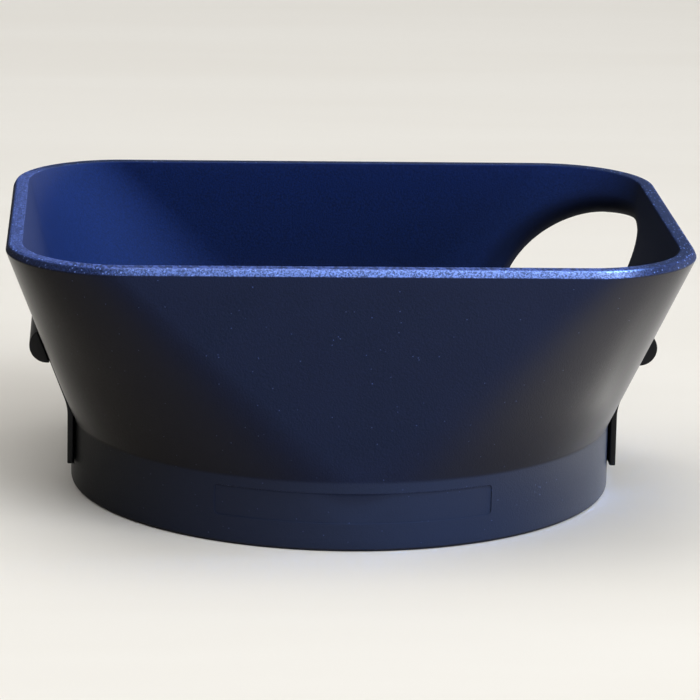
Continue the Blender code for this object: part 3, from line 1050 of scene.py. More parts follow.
@dataclass
class HoodShell:
    """The moulded body: ring, flare, rim, bosses, pockets, slots, window and marking field."""

    moulding: MouldedBlack
    rim_half_width: float = 35.0 * MM
    rim_half_depth: float = 27.5 * MM
    rim_corner: float = 12.0 * MM
    rim_wall: float = 1.7 * MM
    rim_low: float = 27.85 * MM
    rim_low_round: float = 0.12 * MM
    height: float = 28.6 * MM
    bevel_inset: float = 0.30 * MM
    bevel_drop: float = 0.13 * MM
    bevel_round: float = 0.20 * MM
    edge_inset: float = 0.52 * MM
    edge_round: float = 0.15 * MM
    mouth_round: float = 0.16 * MM
    ring_radius: float = 28.5 * MM
    ring_height: float = 7.1 * MM
    ring_wall: float = 1.8 * MM
    foot_round: float = 0.35 * MM
    shoulder_round: float = 0.25 * MM
    bore_round: float = 0.30 * MM
    flare_wall: float = 1.7 * MM
    flare_round: float = 0.35 * MM
    stop_width: float = 1.7 * MM
    stop_top: float = 7.2 * MM
    stop_round: float = 0.18 * MM
    seat_height: float = 6.0 * MM
    boss_bite: float = 0.5 * MM
    boss_edge: Softening = Softening(0.4 * MM, 4, 12.0)
    field_half_turn: float = math.radians(29.3)
    field_low: float = 2.9 * MM
    field_high: float = 6.0 * MM
    field_corner: float = 0.5 * MM
    field_bend_steps: int = 6
    field_spans: int = 28
    field_layers: tuple[Point2, ...] = (
        (-0.10 * MM, -0.10 * MM),
        (-0.03 * MM, 0.0),
        (0.6 * MM, 0.25 * MM),
    )
    corner_steps: int = 40
    side_steps: int = 8
    row_spacing: float = 1.0 * MM
    bend_steps: int = 6
    bend_limit: float = 0.45
    sharp_degrees: float = 28.0

    def build(self) -> bpy.types.Object:
        """Make the whole shell.

        Returns:
            The finished piece.
        """
        finish = self.moulding.material(Window(self))
        shell = self.skin(finish)
        for side in Side:
            combine(shell, self.boss(side), Cut.JOIN)
        for helper in self.openings():
            combine(shell, helper, Cut.REMOVE)
        shade(shell.data, self.sharp_degrees)
        return shell

    def dress(self, shell: bpy.types.Object) -> None:
        """Hang the shell on the hood's body in place of the plain solid.

        Args:
            shell: The finished piece.
        """
        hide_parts("hood_shell")
        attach(shell, "hood")

    def profile(self) -> list[Vector]:
        """Rows of the skin, once round the wall's cross-section.

        Returns:
            Flare share, inset and height of each row.
        """
        stop = self.ring_wall + self.stop_width
        bevel = self.height - self.bevel_drop
        corners = [
            (Vector((0.0, 0.0, 0.0)), self.foot_round),
            (Vector((0.0, 0.0, self.ring_height)), self.shoulder_round),
            (Vector((1.0, 0.0, self.rim_low)), self.rim_low_round),
            (Vector((1.0, self.bevel_inset, bevel)), self.bevel_round),
            (Vector((1.0, self.edge_inset, self.height)), self.edge_round),
            (Vector((1.0, self.rim_wall, self.height)), self.mouth_round),
            (Vector((0.0, self.flare_wall, self.stop_top)), self.flare_round),
            (Vector((0.0, stop, self.stop_top)), self.stop_round),
            (Vector((0.0, stop, self.seat_height)), self.stop_round),
            (Vector((0.0, self.ring_wall, self.seat_height)), self.stop_round),
            (Vector((0.0, self.ring_wall, 0.0)), self.bore_round),
        ]
        return self.filled(corners)

    def filled(self, corners: Sequence[tuple[Vector, float]]) -> list[Vector]:
        """Round the profile's corners and fill its straight runs with evenly spaced rows.

        Args:
            corners: Each corner with the reach of its bend.

        Returns:
            The rows, in order.
        """
        bends: list[list[Vector]] = []
        for k, (corner, reach) in enumerate(corners):
            legs = [corners[k - 1][0] - corner, corners[(k + 1) % len(corners)][0] - corner]
            runs = [Vector((leg.y, leg.z)).length for leg in legs]
            shares = [min(reach / run, self.bend_limit) for run in runs]
            ends = [corner + leg * share for leg, share in zip(legs, shares)]
            bends.append(curve_through(ends[0], corner, ends[1], self.bend_steps))
        rows: list[Vector] = []
        for k, bend in enumerate(bends):
            rows += bend
            start, end = bend[-1], bends[(k + 1) % len(bends)][0]
            gap = end - start
            count = max(1, round(Vector((gap.y, gap.z)).length / self.row_spacing))
            rows += [start + gap * (step / count) for step in range(1, count)]
        return rows

    def columns(self) -> list[tuple[float, float, float]]:
        """Columns round the section: a corner arc and a straight side in each quarter.

        Returns:
            Turn on the corner's arc, and share of the straight run in X and in Y.
        """
        made: list[tuple[float, float, float]] = []
        signs = ((1, 1), (-1, 1), (-1, -1), (1, -1))
        for quarter, (sign_x, sign_y) in enumerate(signs):
            for step in range(self.corner_steps + 1):
                made.append(((quarter + step / self.corner_steps) * math.pi / 2, sign_x, sign_y))
            next_x, next_y = signs[(quarter + 1) % 4]
            for step in range(1, self.side_steps):
                share = step / self.side_steps
                across = sign_x + (next_x - sign_x) * share
                along = sign_y + (next_y - sign_y) * share
                made.append(((quarter + 1) * math.pi / 2, across, along))
        return made

    def net(self) -> bpy.types.Object:
        """A closed net of rows and columns, with the numbers that place each point stored on it.

        Returns:
            The net, with all its points still at the origin.
        """
        shape = bmesh.new()
        labels = ("share", "inset", "height", "turn", "side_x", "side_y")
        layers = [shape.verts.layers.float.new(label) for label in labels]
        columns = self.columns()
        loops = []
        for row in self.profile():
            loop = []
            for column in columns:
                vertex = shape.verts.new()
                for layer, value in zip(layers, (*row, *column)):
                    vertex[layer] = value
                loop.append(vertex)
            loops.append(loop)
        bridge(shape, loops + loops[:1])
        mesh = bpy.data.meshes.new("hood_shell")
        shape.to_mesh(mesh)
        shape.free()
        return link(bpy.data.objects.new("hood_shell", mesh))

    def skin(self, finish: bpy.types.Material) -> bpy.types.Object:
        """Loft the skin with a geometry tree that places each stored row and column.

        Args:
            finish: The moulded plastic.

        Returns:
            The closed skin.
        """
        values = {
            "Ring Radius": self.ring_radius,
            "Rim Half Width": self.rim_half_width,
            "Rim Half Depth": self.rim_half_depth,
            "Rim Corner": self.rim_corner,
            "Material": finish,
        }
        shell = self.welded(self.skin_tree().run(self.net(), values))
        shell.data.materials.append(finish)
        return shell

    def skin_tree(self) -> GeometryTree:
        """The skin's rule: corner arcs that grow from the ring's circle into the rim's corners.

        Returns:
            The finished tree.
        """
        sizes = ("Ring Radius", "Rim Half Width", "Rim Half Depth", "Rim Corner")
        tree = GeometryTree("hood_skin", *sizes)
        ring, half_width, half_depth, rim = (tree.given(size) for size in sizes)
        share, turn = tree.stored("share"), tree.stored("turn")
        radius = ring + share * (rim - ring) - tree.stored("inset")
        run_x = share * (half_width - rim) * tree.stored("side_x")
        run_y = share * (half_depth - rim) * tree.stored("side_y")
        place = tree.out("ShaderNodeCombineXYZ", inputs={
            0: run_x + radius * turn.cosine(),
            1: run_y + radius * turn.sine(),
            2: tree.stored("height"),
        })
        inputs = {0: tree.given("Geometry"), "Position": place}
        tree.finish(tree.out("GeometryNodeSetPosition", inputs=inputs))
        return tree

    def welded(self, raw: bpy.types.Object) -> bpy.types.Object:
        """Merge the columns that meet on the ring and point the faces outwards.

        Args:
            raw: The placed net, which is deleted.

        Returns:
            The closed skin.
        """
        shape = bmesh.new()
        shape.from_mesh(raw.data)
        bpy.data.objects.remove(raw, do_unlink=True)
        for layer in list(shape.verts.layers.float.values()):
            shape.verts.layers.float.remove(layer)
        return from_bmesh("hood_shell", shape)

    def flare_x(self, z: float, radius: float) -> float:
        """Half width of the side wall at a height, for the skin that starts at a ring radius."""
        share = (z - self.ring_height) / (self.rim_low - self.ring_height)
        return radius + share * (self.rim_half_width - self.ring_radius)

    def boss(self, side: Side) -> bpy.types.Object:
        """Thickening behind a lever's pocket, with softened edges.

        Args:
            side: Side of the hood.

        Returns:
            The shape to join.
        """
        pocket = LeverPocket()
        low = (self.seat_height + self.stop_top) / 2
        shoulder = pocket.high + pocket.wall
        inner = self.ring_radius - self.flare_wall + self.boss_bite
        top = shoulder + (self.flare_x(shoulder, inner) - pocket.floor_x(pocket.high)) / 2
        outline = [
            (pocket.deep_x - pocket.wall, low),
            (self.flare_x(low, inner), low),
            (self.flare_x(top, inner), top),
            (pocket.floor_x(shoulder) - pocket.wall, shoulder),
            (pocket.deep_x - pocket.wall, pocket.knee),
        ]
        half = pocket.half_width + pocket.wall
        return soften(prism(f"boss_{side.label}", outline, -half, half, side), self.boss_edge)

    def openings(self) -> list[bpy.types.Object]:
        """Every shape that is cut out of the skin.

        Returns:
            The cutters, in the order of cutting.
        """
        pocket = LeverPocket()
        helpers = []
        for side in Side:
            helpers += [pocket.well(side), pocket.seat(side)]
            helpers += [pocket.claw_slot(side), pocket.pin_bore(side)]
        return [*helpers, Window(self).cutter(), self.marking_field()]

    def field_outline(self) -> list[Point2]:
        """The marking field's outline, unrolled about its middle.

        Returns:
            Points with rounded corners, and with many short spans in the long edges.
        """
        wide = self.field_half_turn * self.ring_radius
        tall = (self.field_high - self.field_low) / 2
        signs = ((1, 1), (-1, 1), (-1, -1), (1, -1))
        corners = [(across * wide, up * tall, self.field_corner) for across, up in signs]
        ring = rounded_pairs(corners, self.field_bend_steps)
        outline: list[Point2] = []
        for (x, z), (next_x, next_z) in zip(ring, ring[1:] + ring[:1]):
            count = self.field_spans if abs(next_x - x) > wide else 1
            shares = [step / count for step in range(count)]
            outline += [(x + (next_x - x) * s, z + (next_z - z) * s) for s in shares]
        return outline

    def marking_field(self) -> bpy.types.Object:
        """Shallow bare field sunk into the front of the ring, with rounded ends.

        Returns:
            The cutter.
        """
        middle = (self.field_low + self.field_high) / 2
        outline = self.field_outline()
        rings = []
        for reach, grow in self.field_layers:
            radius = self.ring_radius + reach
            loop = []
            for across, up in outline:
                angle = (across + math.copysign(grow, across)) / self.ring_radius - math.pi / 2
                z = middle + up + math.copysign(grow, up)
                loop.append(Vector((radius * math.cos(angle), radius * math.sin(angle), z)))
            rings.append(loop)
        return loft("marking_field", rings, bent_ends=True)


@dataclass
class LeverPocket:
    """Space behind a lever: a shallow seat on the ring, and a deep pocket from the pivot up."""

    half_width: float = 6.3 * MM
    seat_half: float = 4.6 * MM
    foot: float = 2.2 * MM
    seat_x: float = 27.9 * MM
    seat_overlap: float = 0.5 * MM
    deep_x: float = 26.1 * MM
    low: float = 7.4 * MM
    knee: float = 9.5 * MM
    high: float = 18.4 * MM
    lean: float = math.radians(21.99)
    low_round: float = 0.2 * MM
    knee_round: float = 0.6 * MM
    high_round: float = 0.3 * MM
    wall: float = 1.1 * MM
    outside: float = 43.0 * MM
    slot_low: float = 2.55 * MM
    slot_high: float = 4.05 * MM
    slot_half: float = 2.8 * MM
    slot_inner: float = 26.0 * MM
    slot_outer: float = 28.2 * MM
    pivot_x: float = 27.3 * MM
    pivot_z: float = 8.6 * MM
    bore: float = 0.45 * MM
    bore_half: float = 7.9 * MM
    bore_sides: int = 24

    def floor_x(self, z: float) -> float:
        """The pocket's floor: upright behind the pivot, then leaning out."""
        return self.deep_x + max(0.0, z - self.knee) * math.tan(self.lean)

    def seat(self, side: Side) -> bpy.types.Object:
        """Cutter of the shallow seat on the ring behind the lever's foot.

        Args:
            side: Side of the hood.

        Returns:
            The cutter.
        """
        high = self.low + self.seat_overlap
        outline = rounded_pairs([
            (self.outside, self.foot, 0.0),
            (self.seat_x, self.foot, self.low_round),
            (self.seat_x, high, 0.0),
            (self.outside, high, 0.0),
        ])
        return prism(f"seat_{side.label}", outline, -self.seat_half, self.seat_half, side)

    def well(self, side: Side) -> bpy.types.Object:
        """Cutter of the deep pocket, with small radii in its inner corners.

        Args:
            side: Side of the hood.

        Returns:
            The cutter.
        """
        outline = rounded_pairs([
            (self.outside, self.low, 0.0),
            (self.deep_x, self.low, self.low_round),
            (self.deep_x, self.knee, self.knee_round),
            (self.floor_x(self.high), self.high, self.high_round),
            (self.outside, self.high, 0.0),
        ])
        return prism(f"well_{side.label}", outline, -self.half_width, self.half_width, side)

    def claw_slot(self, side: Side) -> bpy.types.Object:
        """Cutter of the slot that lets the claw into the ring.

        Args:
            side: Side of the hood.

        Returns:
            The cutter.
        """
        outline = [
            (self.slot_inner, self.slot_low),
            (self.slot_outer, self.slot_low),
            (self.slot_outer, self.slot_high),
            (self.slot_inner, self.slot_high),
        ]
        return prism(f"claw_slot_{side.label}", outline, -self.slot_half, self.slot_half, side)

    def pin_bore(self, side: Side) -> bpy.types.Object:
        """Cutter of the pin's two blind seats."""
        outline = circle(self.pivot_x, self.pivot_z, self.bore, self.bore_sides)
        return prism(f"pin_bore_{side.label}", outline, -self.bore_half, self.bore_half, side)


@dataclass
class Window:
    """Oval viewfinder window through the far right corner, with a rounded lip on both faces."""

    shell: HoodShell
    long_radius: float = 9.9 * MM
    short_radius: float = 8.05 * MM
    roll: float = math.radians(-38.0)
    plan_angle: float = math.radians(35.1)
    reach: float = 31.35 * MM
    rise: float = 17.05 * MM
    aim: float = math.radians(55.0)
    drop: float = math.radians(22.0)
    steps: int = 96
    inner_lip: float = 1.5 * MM
    inner_lip_share: float = 0.7
    outer_lip: float = 0.08 * MM
    outer_lip_share: float = 0.4
    lip_steps: int = 5
    near_bulge: float = 2.0 * MM
    bulge_power: float = 1.7
    near_trim: float = 0.75
    clear_low: float = 15.5 * MM
    clear_high: float = 22.0 * MM
    overrun: float = 5.0 * MM
    inner_overrun: float = 0.4 * MM
    share_limit: float = 1.1
    search_reach: float = 12.0 * MM
    search_steps: int = 40

    def frame(self) -> Matrix:
        """The window's plane, with Z aimed out through the corner and downwards.

        Returns:
            Its placement.
        """
        plan = Vector((math.cos(self.plan_angle), math.sin(self.plan_angle), 0.0))
        centre = plan * self.reach + Vector((0.0, 0.0, self.rise))
        aim = Matrix.Rotation(self.aim, 4, "Z") @ Matrix.Rotation(self.drop, 4, "Y")
        face = Matrix(((0, 0, 1, 0), (1, 0, 0, 0), (0, 1, 0, 0), (0, 0, 0, 1)))
        return Matrix.Translation(centre) @ aim @ face @ Matrix.Rotation(self.roll, 4, "Z")

    def wall_distance(self, point: Vector, inset: float, top: float, low: float) -> float:
        """Distance, in plan, from a point to a skin of the flare.

        Args:
            point: The point.
            inset: How far the skin lies within the outer one.
            top: Height at which the skin ends.
            low: Height at which it starts.

        Returns:
            The distance, positive outside the skin.
        """
        share = min(max((point.z - low) / (top - low), 0.0), self.share_limit)
        shell = self.shell
        corner = shell.ring_radius + share * (shell.rim_corner - shell.ring_radius) - inset
        over_x = abs(point.x) - share * (shell.rim_half_width - shell.rim_corner)
        over_y = abs(point.y) - share * (shell.rim_half_depth - shell.rim_corner)
        outside = math.hypot(max(over_x, 0.0), max(over_y, 0.0))
        return outside + min(max(over_x, over_y), 0.0) - corner

    def inner_skin(self, point: Vector) -> float:
        """Distance from a point to the inner skin."""
        shell = self.shell
        return self.wall_distance(point, shell.flare_wall, shell.height, shell.stop_top)

    def outer_skin(self, point: Vector) -> float:
        """Distance from a point to the outer skin."""
        return self.wall_distance(point, 0.0, self.shell.rim_low, self.shell.ring_height)

    def depth(self, frame: Matrix, flat: Vector, skin: Callable[[Vector], float]) -> float:
        """Where a line along the window's axis passes a skin.

        Args:
            frame: The window's plane.
            flat: Where the line crosses that plane.
            skin: Distance to the skin.

        Returns:
            The place along the axis.
        """
        low, high = -self.search_reach, self.search_reach
        for _ in range(self.search_steps):
            middle = (low + high) / 2
            if skin(frame @ Vector((*flat, middle))) < 0:
                low = middle
            else:
                high = middle
        return low

    def cutter(self) -> bpy.types.Object:
        """Loft the window's hole so that it widens into rounded lips at the inner and outer skin.

        Returns:
            The cutter.
        """
        frame = self.frame()
        level = Vector((math.sin(self.aim), -math.cos(self.aim), 0.0))
        paths = []
        for step in range(self.steps):
            turn = 2 * math.pi * step / self.steps
            cosine, sine = math.cos(turn), math.sin(turn)
            flat = Vector((self.long_radius * cosine, self.short_radius * sine))
            out = Vector((cosine / self.long_radius, sine / self.short_radius)).normalized()
            nearness = max(0.0, (frame.to_3x3() @ out.to_3d()).dot(level))
            rise = (frame @ flat.to_3d()).z
            clear = eased((rise - self.clear_low) / (self.clear_high - self.clear_low))
            lip = self.inner_lip * (1.0 - self.near_trim * nearness * (1.0 - clear))
            flat += out * self.near_bulge * nearness**self.bulge_power * clear
            paths.append([frame @ point for point in self.lip_path(frame, flat, out, lip)])
        return loft("viewfinder_window", list(zip(*paths)), bent_ends=True)

    def lip_path(self, frame: Matrix, flat: Vector, out: Vector, lip: float) -> list[Vector]:
        """Points through the wall at one place of the oval, from inside to outside.

        Args:
            frame: The window's plane.
            flat: Place on the oval in that plane.
            out: Direction away from the oval there.
            lip: Reach of the inner lip there.

        Returns:
            Points in the window's own frame.
        """
        near = self.depth(frame, flat, self.inner_skin)
        far = self.depth(frame, flat, self.outer_skin)
        wall = far - near
        mouth = flat + out * lip
        mouth_near = self.depth(frame, mouth, self.inner_skin)
        start = Vector((*mouth, mouth_near))
        end = Vector((*flat, near + min(lip, wall * self.inner_lip_share)))
        inner = curve_through(start, Vector((*flat, near)), end, self.lip_steps)
        edge = flat + out * self.outer_lip
        edge_far = self.depth(frame, edge, self.outer_skin)
        start = Vector((*flat, far - min(self.outer_lip, wall * self.outer_lip_share)))
        end = Vector((*edge, edge_far))
        outer = curve_through(start, Vector((*flat, far)), end, self.lip_steps)
        before = Vector((*mouth, mouth_near - self.inner_overrun))
        beyond = Vector((*edge, edge_far + self.overrun))
        return [before, *inner, *outer, beyond]


@dataclass
class ReleaseLever:
    """One bent sheet lever with its claw, hinge ears, grip bar and rivets."""

    side: Side
    sheet_finish: bpy.types.Material
    grip_finish: bpy.types.Material
    rivet_finish: bpy.types.Material
    half_width: float = 6.0 * MM
    sheet: float = 0.65 * MM
    sheet_edge: Softening = Softening(0.14 * MM, 4, 60.0)
    outer_x: float = 28.85 * MM
    lean: float = math.radians(20.99)
    foot: float = 2.7 * MM
    top: float = 17.3 * MM
    bend_z: float = 8.9 * MM
    bend_outer: float = 0.9 * MM
    bend_inner: float = 0.7 * MM
    bend_steps: int = 8
    claw_half: float = 2.5 * MM
    claw_low: float = 2.85 * MM
    claw_high: float = 3.75 * MM
    claw_tip: float = 26.0 * MM
    claw_lead: float = 0.4 * MM
    claw_edge: Softening = Softening(0.1 * MM, 3, 40.0)
    ear_radius: float = 0.9 * MM
    ear_inner: float = 5.18 * MM
    ear_outer: float = 5.88 * MM
    ear_steps: int = 24
    ear_edge: Softening = Softening(0.08 * MM, 3, 60.0)
    pin_hole: float = 0.48 * MM
    pin_hole_half: float = 8.0 * MM
    grip_half: float = 1.8 * MM
    grip_rise: float = 1.45 * MM
    grip_z: float = 15.3 * MM
    grip_steps: int = 32
    grip_edge: Softening = Softening(0.22 * MM, 5, 50.0)
    face_gap: float = 0.05 * MM
    rivet_radius: float = 0.5 * MM
    rivet_head: float = 0.9 * MM
    rivet_head_height: float = 0.35 * MM
    rivet_dome: tuple[Point2, ...] = ((0.55, 0.01 * MM), (0.86, 0.08 * MM), (1.0, 0.2 * MM))
    rivet_bite: float = 0.9 * MM
    rivet_tip: float = 0.1 * MM
    rivet_spacing: float = 7.0 * MM

    def at(self, along: float, out: float) -> Point2:
        """A place on the upper arm.

        Args:
            along: Distance up from the bend.
            out: Distance out from the outer face.

        Returns:
            Its X and Z on the right-hand side.
        """
        x = self.outer_x + along * math.sin(self.lean) + out * math.cos(self.lean)
        z = self.bend_z + along * math.cos(self.lean) - out * math.sin(self.lean)
        return x, z

    @property
    def grip_along(self) -> float:
        """How far the grip's middle lies up the arm from the bend."""
        return (self.grip_z - self.bend_z) / math.cos(self.lean)

    def build(self) -> list[bpy.types.Object]:
        """Make lever, grip bar and rivets, in that order."""
        return [self.strip(), self.grip(), self.rivets()]

    def painted(self, piece: bpy.types.Object, finish: bpy.types.Material) -> bpy.types.Object:
        """Give a finished piece its one material and its shading.

        Args:
            piece: The lever or its grip bar.
            finish: Its material.

        Returns:
            The same piece.
        """
        piece.data.materials.clear()
        piece.data.materials.append(finish)
        shade(piece.data)
        return piece

    def strip(self) -> bpy.types.Object:
        """The bent strip, joined with its claw and ears and drilled for the pin and rivets.

        Returns:
            The finished piece.
        """
        pocket = LeverPocket()
        length = (self.top - self.bend_z) / math.cos(self.lean)
        inner_x = self.outer_x - self.sheet
        inner_bend = self.bend_z + self.sheet * math.tan(self.lean / 2)
        corners = [
            (inner_x, self.foot, 0.0),
            (self.outer_x, self.foot, 0.0),
            (self.outer_x, self.bend_z, self.bend_outer),
            (*self.at(length, 0.0), 0.0),
            (*self.at(length, -self.sheet), 0.0),
            (inner_x, inner_bend, self.bend_inner),
        ]
        outline = rounded_pairs(corners, self.bend_steps)
        name = f"release_lever_{self.side.label}"
        lever = prism(name, outline, -self.half_width, self.half_width, self.side)
        soften(lever, self.sheet_edge)
        combine(lever, self.claw(), Cut.JOIN)
        for sign in (-1, 1):
            combine(lever, self.ear(sign, pocket), Cut.JOIN)
        hole = circle(pocket.pivot_x, pocket.pivot_z, self.pin_hole)
        drill = prism("pin_hole", hole, -self.pin_hole_half, self.pin_hole_half, self.side)
        combine(lever, drill, Cut.REMOVE)
        for sign in (-1, 1):
            combine(lever, self.rivet_hole(sign), Cut.REMOVE)
        return self.painted(lever, self.sheet_finish)

    def claw(self) -> bpy.types.Object:
        """Hook at the foot, with a sloped lead-in.

        Returns:
            The shape to join.
        """
        root = self.outer_x - self.sheet / 2
        outline = [
            (root, self.claw_low),
            (root, self.claw_high),
            (self.claw_tip, self.claw_high),
            (self.claw_tip, self.claw_low + self.claw_lead),
            (self.claw_tip + self.claw_lead, self.claw_low),
        ]
        hook = prism("claw", outline, -self.claw_half, self.claw_half, self.side)
        return soften(hook, self.claw_edge)

    def ear(self, sign: int, pocket: LeverPocket) -> bpy.types.Object:
        """Hinge ear with a round end about the pivot.

        Args:
            sign: Minus one for the front ear and one for the rear ear.
            pocket: Gives the pivot's place.

        Returns:
            The shape to join.
        """
        root = self.outer_x - self.sheet / 2
        x, z, reach = pocket.pivot_x, pocket.pivot_z, self.ear_radius
        turns = [math.pi * (0.5 + step / self.ear_steps) for step in range(self.ear_steps + 1)]
        arc = [(x + reach * math.cos(a), z + reach * math.sin(a)) for a in turns]
        outline = [*arc, (root, z - reach), (root, z + reach)]
        ends = sorted((sign * self.ear_inner, sign * self.ear_outer))
        return soften(prism("ear", outline, *ends, self.side), self.ear_edge)

    def across_grip(self, sign: int) -> Matrix:
        """Placement on the arm's outer face at one rivet, with Z along the outward normal.

        Args:
            sign: Minus one for the front rivet and one for the rear rivet.

        Returns:
            The placement.
        """
        x, z = self.at(self.grip_along, 0.0)
        normal = Vector((self.side.value * math.cos(self.lean), 0.0, -math.sin(self.lean)))
        turn = normal.to_track_quat("Z", "Y").to_matrix().to_4x4()
        place = (self.side.value * x, sign * self.rivet_spacing / 2, z)
        return Matrix.Translation(place) @ turn

    def rivet_hole(self, sign: int) -> bpy.types.Object:
        """Drill for one rivet, through the sheet and a blind way into the bar.

        Args:
            sign: Minus one for the front rivet and one for the rear rivet.

        Returns:
            The cutter.
        """
        ends = (-2 * self.sheet, self.rivet_bite + 2 * self.face_gap)
        outline = circle(0.0, 0.0, self.rivet_radius + self.face_gap)
        place = self.across_grip(sign)
        rings = [[place @ Vector((x, y, z)) for x, y in outline] for z in ends]
        return loft("rivet_hole", rings)

    def grip(self) -> bpy.types.Object:
        """Bow-backed grip bar with softened ends, drilled from behind.

        Returns:
            The finished piece.
        """
        half, rise = self.grip_half, self.grip_rise
        radius = (half**2 + rise**2) / (2 * rise)
        reach = math.atan2(half, radius - rise)
        outline = []
        for step in range(self.grip_steps + 1):
            angle = -reach + 2 * reach * step / self.grip_steps
            out = rise - radius * (1 - math.cos(angle)) + self.face_gap
            outline.append(self.at(self.grip_along + radius * math.sin(angle), out))
        name = f"grip_bar_{self.side.label}"
        bar = prism(name, outline, -self.half_width, self.half_width, self.side)
        soften(bar, self.grip_edge)
        for sign in (-1, 1):
            combine(bar, self.rivet_hole(sign), Cut.REMOVE)
        return self.painted(bar, self.grip_finish)

    def rivet_profile(self) -> list[Point2]:
        """Half section of a rivet.

        Returns:
            Radius, and height over the sheet's outer face.
        """
        under = -self.sheet - self.face_gap
        low = under - self.rivet_head_height
        tip = self.rivet_bite + self.face_gap
        return [
            (0.0, low),
            *((self.rivet_head * share, low + rise) for share, rise in self.rivet_dome),
            (self.rivet_head, under),
            (self.rivet_radius, under),
            (self.rivet_radius, tip - self.rivet_tip),
            (self.rivet_radius - self.rivet_tip, tip),
            (0.0, tip),
        ]

    def rivets(self) -> bpy.types.Object:
        """Both rivets, turned once and set along the bar by a geometry tree.

        Returns:
            The finished piece.
        """
        turned = revolve("rivet", self.rivet_profile())
        turned.data.transform(self.across_grip(1))
        turned.data.transform(Matrix.Translation((0.0, -self.rivet_spacing / 2, 0.0)))
        turned.data.update()
        shade(turned.data)
        tree = GeometryTree("rivet_row", "Spacing")
        spacing = tree.given("Spacing")
        start = tree.out("ShaderNodeCombineXYZ", inputs={1: spacing * 0.5 * -1.0})
        step = tree.out("ShaderNodeCombineXYZ", inputs={1: spacing})
        settings = {"mode": "OFFSET", "count_mode": "TOTAL"}
        inputs = {"Count": 2, "Start Location": start, "Offset": step}
        line = tree.out("GeometryNodeMeshLine", settings, inputs)
        inputs = {"Points": line, "Instance": tree.given("Geometry")}
        tree.finish(tree.out("GeometryNodeInstanceOnPoints", inputs=inputs))
        turned.name = f"grip_rivets_{self.side.label}"
        return tree.run(turned, {"Spacing": self.rivet_spacing, "Material": self.rivet_finish})

    def dress(self, pieces: Sequence[bpy.types.Object]) -> None:
        """Hang the pieces on the lever's body in place of the plain solids.

        Args:
            pieces: Lever, grip bar and rivets.
        """
        side = self.side.label
        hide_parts(f"release_lever_{side}")
        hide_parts(f"grip_bar_{side}")
        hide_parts(f"grip_rivet_{side}_front", f"grip_rivet_{side}_rear")
        for piece, slot in zip(pieces, ("blackened_steel", "grip_black", "blackened_rivet")):
            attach(piece, self.side.body)


